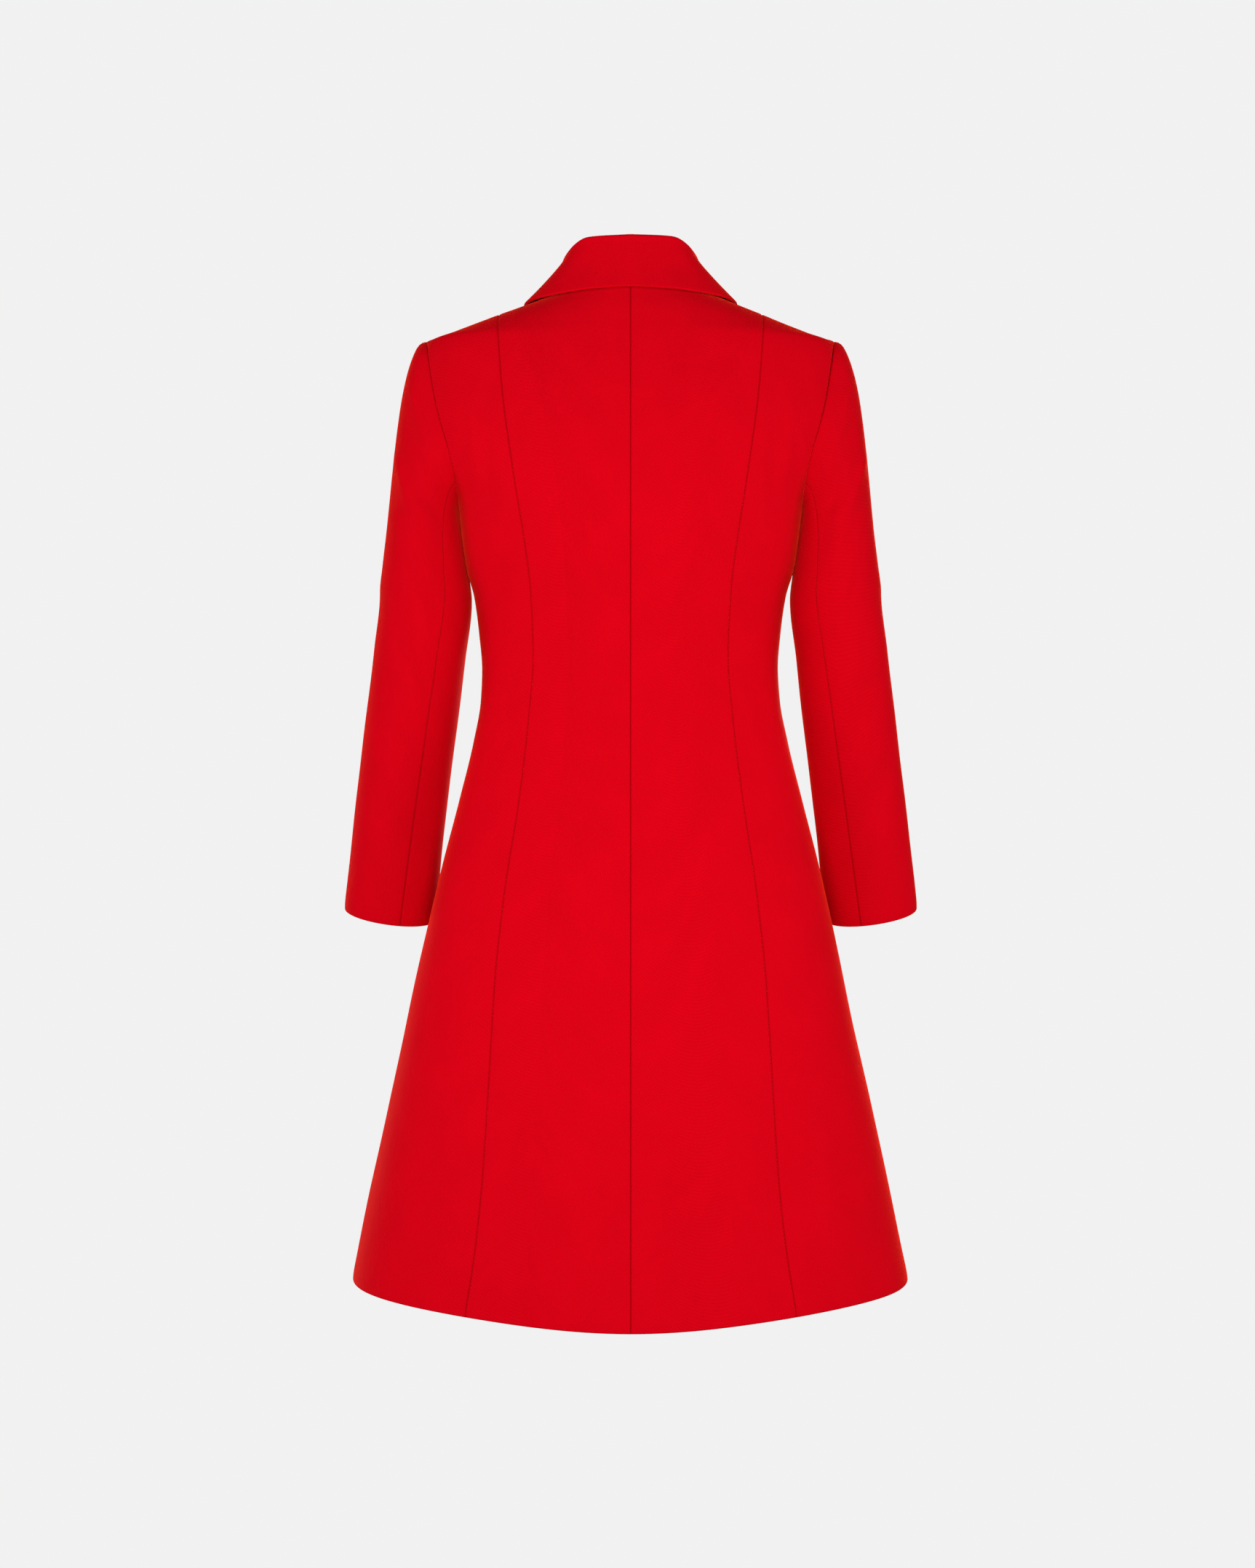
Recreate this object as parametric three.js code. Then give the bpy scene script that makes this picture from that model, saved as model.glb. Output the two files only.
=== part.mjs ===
// A knee-length wool coat with princess seams, a centre back seam, two-piece sleeves
// and a turned-down collar.
// Millimetres, +Z up. The front faces -Y and the back faces +Y, and -X is the wearer's right.
// The origin lies between the two neck points, where the coat sits on the shoulders.
import * as THREE from "three";
import { mergeVertices } from "three/addons/utils/BufferGeometryUtils.js";

// Driving sizes
const WALL = 2.4; // thickness of the coating cloth, with its turned edges
const SEAM_GAP = 0.3; // between two pieces that are sewn together
const SHOULDER_SLOPE = 0.386; // fall of the shoulder seam for each mm outwards
const NECK_POINT_X = 76.3; // the neck end of the shoulder seam, from the centre
const NAPE_Z = 2;
const FRONT_NECK_Z = -68;
const SHOULDER_END_Z = -48; // where the shoulder seam meets the sleeve
const UNDERARM_Z = -210;
const HEM_Z = -969; // at the side seams
const HEM_DIP = { back: 11, front: 8 }; // how much lower the hem is at the centre back and front
const PRINCESS_TOP_Z = -20; // where the princess seams leave the shoulder seam
const LEVEL_ROW_Z = -216; // the first grid row that runs level all round
const BUTTON_EXTENSION = 22; // each front reaches this far past the centre front
const OVERLAP_RISE = WALL + 0.9; // how far the upper front stands over the lower one
const OVERLAP_BLEND = 45; // width over which the upper front rises to that
const FRONT_NECK_CURVE = 1.25; // how late the front neckline drops; 1 would be a sine

const onShoulder = (z) => NECK_POINT_X - z / SHOULDER_SLOPE;

// Level sections of the body: half width, back and front depth, and squareness of the oval
const BODY_SECTIONS = [
  { z: 4, half_width: onShoulder(4), back: 67, front: 36, squareness: 2.0 },
  { z: 0, half_width: onShoulder(0), back: 70, front: 42, squareness: 2.0 },
  { z: -20, half_width: onShoulder(-20), back: 80, front: 56, squareness: 2.05 },
  { z: -40, half_width: onShoulder(-40), back: 86, front: 67, squareness: 2.15 },
  { z: -48, half_width: 200, back: 88.5, front: 71, squareness: 2.2 },
  { z: -71, half_width: 207, back: 94.5, front: 80, squareness: 2.25 },
  { z: -110, half_width: 208, back: 104, front: 98, squareness: 2.3 },
  { z: -148, half_width: 200, back: 111, front: 115, squareness: 2.35 },
  { z: -189, half_width: 177, back: 114, front: 129, squareness: 2.4 },
  { z: -210, half_width: 168.5, back: 114, front: 134, squareness: 2.4 },
  { z: -248, half_width: 163.8, back: 111, front: 138, squareness: 2.35 },
  { z: -272, half_width: 160.2, back: 107.5, front: 136.5, squareness: 2.27 },
  { z: -296, half_width: 153.7, back: 103, front: 132, squareness: 2.15 },
  { z: -335, half_width: 148, back: 95, front: 117, squareness: 2.05 },
  { z: -368, half_width: 145.3, back: 91, front: 108, squareness: 2.0 },
  { z: -400, half_width: 146.8, back: 92, front: 107, squareness: 2.03 },
  { z: -440, half_width: 154.2, back: 98, front: 111, squareness: 2.15 },
  { z: -498, half_width: 169.6, back: 112, front: 121, squareness: 2.3 },
  { z: -560, half_width: 185.5, back: 126, front: 132, squareness: 2.35 },
  { z: -656, half_width: 207, back: 145, front: 149, squareness: 2.3 },
  { z: -771, half_width: 232, back: 167, front: 168, squareness: 2.2 },
  { z: -887, half_width: 257, back: 189, front: 187, squareness: 2.12 },
  { z: -977, half_width: 276, back: 206, front: 202, squareness: 2.02 },
];

// The princess seams, by their distance from the centre line at each height
const PRINCESS_SEAMS = [
  { z: -20, back_x: 128.1, front_x: 128.1 },
  { z: -99, back_x: 122.6, front_x: 117 },
  { z: -189, back_x: 110.9, front_x: 100 },
  { z: -250, back_x: 101.5, front_x: 91.5 },
  { z: -298, back_x: 96, front_x: 87 },
  { z: -360, back_x: 93.8, front_x: 84 },
  { z: -417, back_x: 97.8, front_x: 88 },
  { z: -497, back_x: 106.5, front_x: 97 },
  { z: -590, back_x: 120, front_x: 109 },
  { z: -650, back_x: 126, front_x: 116 },
  { z: -712, back_x: 130, front_x: 121 },
  { z: -846, back_x: 138, front_x: 131 },
  { z: -920, back_x: 145, front_x: 137 },
  { z: -977, back_x: 153, front_x: 142 },
];

// The armhole seam, by its distance from the centre line at each height
const ARMHOLE = [
  { z: -48, back_x: 200, front_x: 200 },
  { z: -54, back_x: 199.2, front_x: 197.5 },
  { z: -71, back_x: 196.4, front_x: 190 },
  { z: -110, back_x: 189, front_x: 180 },
  { z: -135, back_x: 182.5, front_x: 175.5 },
  { z: -160, back_x: 175, front_x: 171.5 },
  { z: -189, back_x: 169.6, front_x: 169 },
  { z: -210, back_x: 168.5, front_x: 168.5 },
];

// Sections of the sleeve below its head: centre, half width, half depth, and the tilt of the section
const SLEEVE_SECTIONS = [
  { z: -240, x: 203.4, y: -3, half_width: 38, half_depth: 57, rise_out: 0.05, drop_back: 0 },
  { z: -270, x: 203.4, y: -3.5, half_width: 41.9, half_depth: 56.8, rise_out: 0.065, drop_back: 0.005 },
  { z: -296, x: 203.1, y: -4, half_width: 45, half_depth: 56.5, rise_out: 0.08, drop_back: 0.01 },
  { z: -354, x: 210.1, y: -8, half_width: 44.9, half_depth: 54, rise_out: 0.1, drop_back: 0.04 },
  { z: -411, x: 217.6, y: -15, half_width: 45.2, half_depth: 51, rise_out: 0.12, drop_back: 0.08 },
  { z: -469, x: 225.4, y: -27, half_width: 45.6, half_depth: 48, rise_out: 0.13, drop_back: 0.12 },
  { z: -541, x: 235.2, y: -45, half_width: 45.8, half_depth: 44.5, rise_out: 0.14, drop_back: 0.16 },
  { z: -615.2, x: 245, y: -64, half_width: 46.4, half_depth: 41, rise_out: 0.146, drop_back: 0.196 },
];
const SLEEVE_TOP_Z = SLEEVE_SECTIONS[0].z;
const CUFF_Z = SLEEVE_SECTIONS[SLEEVE_SECTIONS.length - 1].z;
// Angles round the sleeve: 0 is its outer side, 90 its back, 180 its inner side and 270 its front.
const BACK_SEAM_ANGLE = { armhole: 138, cuff: 108 };
const FRONT_SEAM_ANGLE = { armhole: 232, cuff: 236 };
// How the sleeve leaves the armhole, round the same angles
const SLEEVE_HEAD = [
  { angle: 0, out: 88, drop: -26 },
  { angle: 90, out: 62, drop: 24 },
  { angle: 150, out: 18, drop: 26 },
  { angle: 180, out: 6, drop: 22 },
  { angle: 210, out: 18, drop: 26 },
  { angle: 270, out: 62, drop: 24 },
  { angle: 360, out: 88, drop: -26 },
];
const SLEEVE_HEAD_END = 150; // length of the straight run into the section under the head
const SLEEVE_HEAD_END_SHARE = 0.85; // and the most it may take of the way there

// The collar, round the angles from the centre back (0) by the shoulder (90) to the centre front (180):
// the crest of its fold, where its outer edge lies on the body and how far it stands off there,
// and how far the fall draws in between the two
const COLLAR_FOLD = [
  { angle: 0, x: 0, y: 66, z: 47.5 },
  { angle: 35, x: 40, y: 52, z: 48.6 },
  { angle: 60, x: 57, y: 31, z: 42.5 },
  { angle: 90, x: 65.5, y: 0, z: 31 },
  { angle: 120, x: 58, y: -33, z: 7 },
  { angle: 150, x: 36, y: -61, z: -21 },
  { angle: 178.6, x: 1.8, y: -77, z: -37 },
];
const COLLAR_EDGE = [
  { angle: 0, polar: 0, z: -6.5, off: 4.5, hollow: 1 },
  { angle: 35, polar: 34, z: -8, off: 4.2, hollow: 2 },
  { angle: 60, polar: 61, z: -10, off: 3.6, hollow: 2.5 },
  { angle: 90, polar: 90, z: -11, off: 3.6, hollow: 2.5 },
  { angle: 120, polar: 122, z: -33, off: 4.8, hollow: -0.5 },
  { angle: 150, polar: 145, z: -78, off: 6.8, hollow: -3.5 },
  { angle: 178.6, polar: 159.5, z: -118, off: 7.8, hollow: -2.5 },
];
const STAND_SEAM_DROP = 7; // the stand ends this far under the turn of the fold
const FOLD_HALF_WIDTH = 3.4; // from the middle of the fold to its outer face
const FOLD_START = 0.08; // shares of the fall's grid at which its turn begins and ends
const FOLD_END = 0.25;
// The way the fall faces: outwards, and upwards at its top and its edge
const FALL_FACING = { out: 0.9, up_at_top: 0.1, up_at_edge: 0.55 };

const BUTTON_RADIUS = 14;
const BUTTON_THICKNESS = 4.2;
const BUTTON_RIM = 1.1;
const TOP_BUTTON_Z = -128;
const BUTTON_SPACING = 88;
const BUTTON_COUNT = 5;
const BUTTON_SIDES = 24;

// Numbers of grid rows and columns
const UPPER_ROWS = 9;
const LOWER_ROWS = 15;
const BACK_COLUMNS = 6;
const BACK_NECK_COLUMNS = 4;
const SIDE_COLUMNS = 6;
const FRONT_COLUMNS = 7;
const FRONT_NECK_COLUMNS = 5;
const HEAD_ROWS = 7;
const SLEEVE_ROWS = 9;
const TOP_SLEEVE_COLUMNS = 13;
const UNDER_SLEEVE_COLUMNS = 6;
const COLLAR_COLUMNS_EACH = 2; // for each column of the necklines under it
const FALL_ROWS = 5;
const STAND_ROWS = 2;
const FOLD_ROWS = 4;
// How the rows of a panel crowd towards its top, and how soon they leave the line of its top edge
const CENTRE_CROWDING = 1.2;
const PRINCESS_CROWDING = 1.8;
const TOP_EDGE_FADE = 1.6;

const DEG = Math.PI / 180;
const SLOPE_STEP = 0.5; // degrees or mm each way in which a surface's slope is measured
const SLEEVE_STEP = 0.02; // the same along a sleeve, as a share of its upper part
const HEM_PASSES = 3; // a seam's angle and its height on the hem settle in this many
const CLOTH = { color: 0xc8101c, roughness: 0.92, metalness: 0 };
const BUTTON_FINISH = { color: 0xa00f18, roughness: 0.45, metalness: 0 };

const mix = (a, b, t) => a + (b - a) * t;
const clamp = (v, low, high) => Math.min(high, Math.max(low, v));
const smooth = (t) => t * t * (3 - 2 * t);

// A smooth curve through one column of a table that never swings past its rows
function column(rows, at, name) {
  const knots = rows.map((row) => [row[at], row[name]]).sort((a, b) => a[0] - b[0]);
  const last = knots.length - 1;
  const rate = knots.slice(1).map((k, i) => (k[1] - knots[i][1]) / (k[0] - knots[i][0]));
  const slope = knots.map((k, i) => {
    if (i === 0) return rate[0];
    if (i === last) return rate[last - 1];
    const before = rate[i - 1];
    const after = rate[i];
    return before * after <= 0 ? 0 : (2 * before * after) / (before + after);
  });
  return (x) => {
    if (x <= knots[0][0]) return knots[0][1] + slope[0] * (x - knots[0][0]);
    if (x >= knots[last][0]) return knots[last][1] + slope[last] * (x - knots[last][0]);
    let i = 0;
    while (x > knots[i + 1][0]) i += 1;
    const span = knots[i + 1][0] - knots[i][0];
    const t = (x - knots[i][0]) / span;
    const rise = knots[i + 1][1] - knots[i][1];
    const bend = t * (1 - t) * span;
    return knots[i][1] + rise * smooth(t) + bend * ((1 - t) * slope[i] - t * slope[i + 1]);
  };
}

const halfWidth = column(BODY_SECTIONS, "z", "half_width");
const backDepth = column(BODY_SECTIONS, "z", "back");
const frontDepth = column(BODY_SECTIONS, "z", "front");
const squareness = column(BODY_SECTIONS, "z", "squareness");

// A point of the body's outer face. The angle runs from the centre back (0) over the side (90)
// to the centre front (180), on the +X half, and below 0 or over 180 on the other half.
function bodyPoint(angle, z) {
  const across = Math.sin(angle * DEG);
  const back = Math.cos(angle * DEG);
  const depth = back >= 0 ? backDepth(z) : frontDepth(z);
  const n = squareness(z);
  const reach = (Math.abs(across) / halfWidth(z)) ** n + (Math.abs(back) / depth) ** n;
  const radius = reach ** (-1 / n);
  return new THREE.Vector3(radius * across, radius * back, z);
}

function bodyNormal(angle, z) {
  const round = bodyPoint(angle + SLOPE_STEP, z).sub(bodyPoint(angle - SLOPE_STEP, z));
  const down = bodyPoint(angle, z - SLOPE_STEP).sub(bodyPoint(angle, z + SLOPE_STEP));
  return round.cross(down).normalize();
}

// The angle at which the body's outer face is x from the centre line
function angleAt(x, z, side) {
  const n = squareness(z);
  const part = clamp(1 - (x / halfWidth(z)) ** n, 0, 1) ** (1 / n);
  return side === "back"
    ? Math.atan2(x, backDepth(z) * part) / DEG
    : Math.atan2(x, -frontDepth(z) * part) / DEG;
}

// The height of a lower row (1 to 2) at an angle round the body: level at the top, and
// along the hem at the bottom
function lowerRow(t, angle) {
  const back = Math.cos(angle * DEG);
  const dip = (back > 0 ? HEM_DIP.back : HEM_DIP.front) * back ** 4;
  return mix(LEVEL_ROW_Z, HEM_Z - dip, t - 1);
}

// Row heights (0 to 1) on each lengthwise line above the underarm
const upperRow = {
  centre_back: (t) => mix(NAPE_Z, LEVEL_ROW_Z, t ** CENTRE_CROWDING),
  centre_front: (t) => mix(FRONT_NECK_Z, LEVEL_ROW_Z, t),
  princess: (t) => mix(PRINCESS_TOP_Z, LEVEL_ROW_Z, t ** PRINCESS_CROWDING),
  side: (t) => mix(SHOULDER_END_Z, UNDERARM_Z, (1 - Math.cos(Math.PI * t)) / 2),
};

const seamX = {
  back: column(PRINCESS_SEAMS, "z", "back_x"),
  front: column(PRINCESS_SEAMS, "z", "front_x"),
};
const armholeX = {
  back: column(ARMHOLE, "z", "back_x"),
  front: column(ARMHOLE, "z", "front_x"),
};

// A point on a lengthwise line of the lower part, where its angle and its height depend on each other
function lowerPoint(t, angleAtHeight) {
  let angle = angleAtHeight(lowerRow(t, 90));
  for (let pass = 0; pass < HEM_PASSES; pass += 1) angle = angleAtHeight(lowerRow(t, angle));
  return { z: lowerRow(t, angle), angle };
}

function princessLine(side) {
  const angleAtHeight = (z) => angleAt(seamX[side](z), z, side);
  return (t) => {
    if (t > 1) return lowerPoint(t, angleAtHeight);
    const z = upperRow.princess(t);
    return { z, angle: t === 0 ? 90 : angleAtHeight(z) };
  };
}

function sideLine(side) {
  return (t) => {
    if (t > 1) return { z: lowerRow(t, 90), angle: 90 };
    const z = upperRow.side(t);
    return { z, angle: t === 0 || t === 1 ? 90 : angleAt(armholeX[side](z), z, side) };
  };
}

const centreBackLine = (t) => ({ z: t > 1 ? lowerRow(t, 0) : upperRow.centre_back(t), angle: 0 });

// The edge of a front, past the centre front by its button extension
function frontEdgeLine(t) {
  const angleAtHeight = (z) => 360 - angleAt(BUTTON_EXTENSION, z, "front");
  if (t > 1) return lowerPoint(t, angleAtHeight);
  const z = upperRow.centre_front(t);
  return { z, angle: angleAtHeight(z) };
}

// The neckline's height at an angle round the neck
function neckHeight(angle) {
  if (angle <= 90) return mix(NAPE_Z, 0, smooth(angle / 90));
  return FRONT_NECK_Z * Math.sin(clamp(angle - 90, 0, 90) * DEG) ** FRONT_NECK_CURVE;
}

// The top edge of a centre panel: along the neckline, then down the shoulder seam
function neckAndShoulder(centreAngle, neckPart) {
  return (u) => {
    if (u <= neckPart) {
      const angle = mix(centreAngle, 90, u / neckPart);
      return { angle, z: neckHeight(Math.min(angle, 180)) };
    }
    return { angle: 90, z: mix(0, PRINCESS_TOP_Z, (u - neckPart) / (1 - neckPart)) };
  };
}

const shoulderOnly = (u) => ({ angle: 90, z: mix(PRINCESS_TOP_Z, SHOULDER_END_Z, u) });

// Places of the grid rows: 0 at the top edge, 1 at the underarm, 2 at the hem
const rowSteps = [
  ...Array.from({ length: UPPER_ROWS }, (_, i) => i / UPPER_ROWS),
  ...Array.from({ length: LOWER_ROWS + 1 }, (_, i) => 1 + i / LOWER_ROWS),
];

// The angle and height of each grid point of a panel between two lengthwise lines
function panelGrid(inner, outer, top, columns) {
  const grid = [];
  for (const t of rowSteps) {
    const fade = clamp(1 - t, 0, 1) ** TOP_EDGE_FADE;
    const row = [];
    for (let j = 0; j <= columns; j += 1) {
      const u = j / columns;
      const blend = (name) => {
        const flat = mix(inner(t)[name], outer(t)[name], u);
        const flatTop = mix(inner(0)[name], outer(0)[name], u);
        return flat + fade * (top(u)[name] - flatTop);
      };
      const angle = blend("angle");
      row.push({ angle, z: t > 1 ? lowerRow(t, angle) : blend("z") });
    }
    grid.push(row);
  }
  return grid;
}

// Draws the rim of a grid of points in by half a seam gap
function drawIn(points) {
  const half = SEAM_GAP / 2;
  const rows = points.length - 1;
  const columns = points[0].length - 1;
  const towards = (from, to) => to.clone().sub(from).normalize().multiplyScalar(half);
  return points.map((row, i) =>
    row.map((p, j) => {
      const moved = p.clone();
      if (i === 0) moved.add(towards(p, points[1][j]));
      if (i === rows) moved.add(towards(p, points[rows - 1][j]));
      if (j === 0) moved.add(towards(p, row[1]));
      if (j === columns) moved.add(towards(p, row[columns - 1]));
      return moved;
    }),
  );
}

// A closed wall between two grids of points of the same size
function wallMesh(outside, inside) {
  const rows = outside.length;
  const columns = outside[0].length;
  const positions = [...outside.flat(), ...inside.flat()].flatMap((p) => [p.x, p.y, p.z]);
  const id = (layer, i, j) => (layer * rows + i) * columns + j;
  const index = [];
  const quad = (a, b, c, d) => index.push(a, b, c, a, c, d);
  for (let i = 0; i + 1 < rows; i += 1) {
    for (let j = 0; j + 1 < columns; j += 1) {
      quad(id(0, i, j), id(0, i + 1, j), id(0, i + 1, j + 1), id(0, i, j + 1));
      quad(id(1, i, j), id(1, i, j + 1), id(1, i + 1, j + 1), id(1, i + 1, j));
    }
    quad(id(0, i, 0), id(1, i, 0), id(1, i + 1, 0), id(0, i + 1, 0));
    const end = columns - 1;
    quad(id(0, i, end), id(0, i + 1, end), id(1, i + 1, end), id(1, i, end));
  }
  for (let j = 0; j + 1 < columns; j += 1) {
    quad(id(0, 0, j), id(0, 0, j + 1), id(1, 0, j + 1), id(1, 0, j));
    quad(id(0, rows - 1, j), id(1, rows - 1, j), id(1, rows - 1, j + 1), id(0, rows - 1, j + 1));
  }
  const geometry = new THREE.BufferGeometry();
  geometry.setAttribute("position", new THREE.Float32BufferAttribute(positions, 3));
  geometry.setIndex(signedVolume(positions, index) < 0 ? turned(index) : index);
  geometry.computeVertexNormals();
  return geometry;
}

function signedVolume(positions, index) {
  const at = (k) => new THREE.Vector3().fromArray(positions, 3 * k);
  let six = 0;
  for (let k = 0; k < index.length; k += 3) {
    six += at(index[k]).dot(at(index[k + 1]).cross(at(index[k + 2])));
  }
  return six / 6;
}

const turned = (index) => index.map((_, k) => index[k - (k % 3) + ((3 - (k % 3)) % 3)]);

const mirrorX = (points) => points.map((row) => row.map((p) => new THREE.Vector3(-p.x, p.y, p.z)));

function addPiece(group, name, geometry, finish) {
  const mesh = new THREE.Mesh(geometry, new THREE.MeshStandardMaterial(finish));
  mesh.name = name;
  group.add(mesh);
}

// A pair of walls, the second one mirrored to the wearer's right
function addPair(group, name, outside, inside) {
  addPiece(group, `${name}_left`, wallMesh(drawIn(outside), drawIn(inside)), CLOTH);
  addPiece(group, `${name}_right`, wallMesh(drawIn(mirrorX(outside)), drawIn(mirrorX(inside))), CLOTH);
}

const onBody = (grid, rise) =>
  grid.map((row) =>
    row.map((g) => bodyPoint(g.angle, g.z).addScaledVector(bodyNormal(g.angle, g.z), rise(g))),
  );

function bodyPanels() {
  const group = new THREE.Group();
  const outer = () => 0;
  const inner = () => -WALL;
  const back = panelGrid(
    centreBackLine,
    princessLine("back"),
    neckAndShoulder(0, BACK_NECK_COLUMNS / BACK_COLUMNS),
    BACK_COLUMNS,
  );
  addPair(group, "back", onBody(back, outer), onBody(back, inner));
  for (const side of ["back", "front"]) {
    const grid = panelGrid(princessLine(side), sideLine(side), shoulderOnly, SIDE_COLUMNS);
    addPair(group, `side_${side}`, onBody(grid, outer), onBody(grid, inner));
  }
  return group;
}

// How far the upper front stands off the body, to lie over the lower one
function overlapRise(g) {
  const x = bodyPoint(g.angle, g.z).x;
  return OVERLAP_RISE * smooth(clamp((OVERLAP_BLEND + BUTTON_EXTENSION - x) / OVERLAP_BLEND, 0, 1));
}

function fronts() {
  const group = new THREE.Group();
  const topEdge = neckAndShoulder(frontEdgeLine(0).angle, FRONT_NECK_COLUMNS / FRONT_COLUMNS);
  const grid = panelGrid(frontEdgeLine, princessLine("front"), topEdge, FRONT_COLUMNS);
  const under = [onBody(grid, () => 0), onBody(grid, () => -WALL)];
  addPiece(group, "front_left", wallMesh(...under.map(drawIn)), CLOTH);
  const over = [onBody(grid, overlapRise), onBody(grid, (g) => overlapRise(g) - WALL)];
  addPiece(group, "front_right", wallMesh(...over.map((p) => drawIn(mirrorX(p)))), CLOTH);
  return group;
}

// The armhole seam as a ring, round the sleeve's angles
function armholePoint(angle) {
  const side = angle <= 180 ? "back" : "front";
  const t = (angle <= 180 ? angle : 360 - angle) / 180;
  const g = sideLine(side)(t);
  return bodyPoint(g.angle, g.z).add(new THREE.Vector3(SEAM_GAP, 0, 0));
}

const sleeve = Object.fromEntries(
  ["x", "y", "half_width", "half_depth", "rise_out", "drop_back"].map((name) => [
    name,
    column(SLEEVE_SECTIONS, "z", name),
  ]),
);
const headOut = column(SLEEVE_HEAD, "angle", "out");
const headDrop = column(SLEEVE_HEAD, "angle", "drop");

function sleeveSection(angle, z) {
  const out = sleeve.half_width(z) * Math.cos(angle * DEG);
  const back = sleeve.half_depth(z) * Math.sin(angle * DEG);
  const height = z + sleeve.rise_out(z) * out - sleeve.drop_back(z) * back;
  return new THREE.Vector3(sleeve.x(z) + out, sleeve.y(z) + back, height);
}

// A point of the sleeve's outer face: 0 to 1 runs down the head, 1 to 2 from there to the cuff
function sleevePoint(angle, t) {
  if (t >= 1) return sleeveSection(angle, mix(SLEEVE_TOP_Z, CUFF_Z, t - 1));
  const turn = ((angle % 360) + 360) % 360;
  const start = armholePoint(turn);
  const end = sleeveSection(turn, SLEEVE_TOP_Z);
  const leave = new THREE.Vector3(headOut(turn), 0, -headDrop(turn));
  const straight = sleeveSection(turn, SLEEVE_TOP_Z - 1).sub(end);
  straight.multiplyScalar(Math.min(SLEEVE_HEAD_END, SLEEVE_HEAD_END_SHARE * start.distanceTo(end)));
  const t2 = t * t;
  const t3 = t2 * t;
  return start
    .multiplyScalar(2 * t3 - 3 * t2 + 1)
    .addScaledVector(leave, t3 - 2 * t2 + t)
    .addScaledVector(end, 3 * t2 - 2 * t3)
    .addScaledVector(straight, t3 - t2);
}

function sleeveNormal(angle, t) {
  const round = sleevePoint(angle + SLOPE_STEP, t).sub(sleevePoint(angle - SLOPE_STEP, t));
  const below = sleevePoint(angle, Math.min(t + SLEEVE_STEP, 2));
  const above = sleevePoint(angle, Math.max(t - SLEEVE_STEP, 0));
  return round.cross(below.sub(above)).normalize().negate();
}

function sleevePanels() {
  const group = new THREE.Group();
  const rows = HEAD_ROWS + SLEEVE_ROWS;
  const back = BACK_SEAM_ANGLE;
  const front = FRONT_SEAM_ANGLE;
  const pieces = [
    { name: "under_sleeve", from: back, to: front, turn: 0, columns: UNDER_SLEEVE_COLUMNS },
    { name: "top_sleeve", from: front, to: back, turn: 360, columns: TOP_SLEEVE_COLUMNS },
  ];
  for (const piece of pieces) {
    const grid = [];
    for (let i = 0; i <= rows; i += 1) {
      const t = i <= HEAD_ROWS ? i / HEAD_ROWS : 1 + (i - HEAD_ROWS) / SLEEVE_ROWS;
      const from = mix(piece.from.armhole, piece.from.cuff, t / 2);
      const to = piece.turn + mix(piece.to.armhole, piece.to.cuff, t / 2);
      const row = [];
      for (let j = 0; j <= piece.columns; j += 1) {
        row.push({ angle: mix(from, to, j / piece.columns), t });
      }
      grid.push(row);
    }
    const outside = grid.map((row) => row.map((g) => sleevePoint(g.angle, g.t)));
    const inside = grid.map((row) =>
      row.map((g) => sleevePoint(g.angle, g.t).addScaledVector(sleeveNormal(g.angle, g.t), -WALL)),
    );
    addPair(group, piece.name, outside, inside);
  }
  return group;
}

const fold = Object.fromEntries(["x", "y", "z"].map((name) => [name, column(COLLAR_FOLD, "angle", name)]));
const edge = Object.fromEntries(
  ["polar", "z", "off", "hollow"].map((name) => [name, column(COLLAR_EDGE, "angle", name)]),
);
const COLLAR_END = COLLAR_FOLD[COLLAR_FOLD.length - 1].angle;

// The angles of the necklines' grid columns on one half, out to the collar's end
const frontEdgeAngle = frontEdgeLine(0).angle;
const neckAngles = [
  ...Array.from({ length: BACK_NECK_COLUMNS }, (_, k) => (90 * k) / BACK_NECK_COLUMNS),
  ...Array.from({ length: FRONT_NECK_COLUMNS }, (_, k) => mix(90, frontEdgeAngle, k / FRONT_NECK_COLUMNS)),
];

// A point of the neckline as it runs straight between two of those columns
function neckPoint(angle) {
  const k = neckAngles.findLastIndex((a) => a <= angle);
  const from = neckAngles[k];
  const to = neckAngles[k + 1] ?? frontEdgeAngle;
  const ends = [from, to].map((a) => bodyPoint(a, neckHeight(Math.min(a, 180))));
  return ends[0].lerp(ends[1], (angle - from) / (to - from));
}

const collarHalf = neckAngles.flatMap((from, k) => {
  const to = Math.min(neckAngles[k + 1] ?? COLLAR_END, COLLAR_END);
  return Array.from({ length: COLLAR_COLUMNS_EACH }, (_, i) => mix(from, to, i / COLLAR_COLUMNS_EACH));
});
const collarAngles = [
  -COLLAR_END,
  ...collarHalf.slice(1).map((a) => -a).reverse(),
  ...collarHalf,
  COLLAR_END,
];

function crossCollar(signedAngle) {
  const angle = Math.abs(signedAngle);
  const side = Math.sign(signedAngle) || 1;
  const crest = new THREE.Vector3(fold.x(angle), fold.y(angle), fold.z(angle));
  const neck = neckPoint(angle);
  const edgeBody = bodyPoint(edge.polar(angle), edge.z(angle));
  const rim = edgeBody.addScaledVector(bodyNormal(edge.polar(angle), edge.z(angle)), edge.off(angle));
  const out = new THREE.Vector3(Math.sin(angle * DEG), Math.cos(angle * DEG), 0);
  for (const p of [crest, neck, rim, out]) p.x *= side;
  return { crest, neck, rim, out, hollow: edge.hollow(angle) };
}

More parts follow.
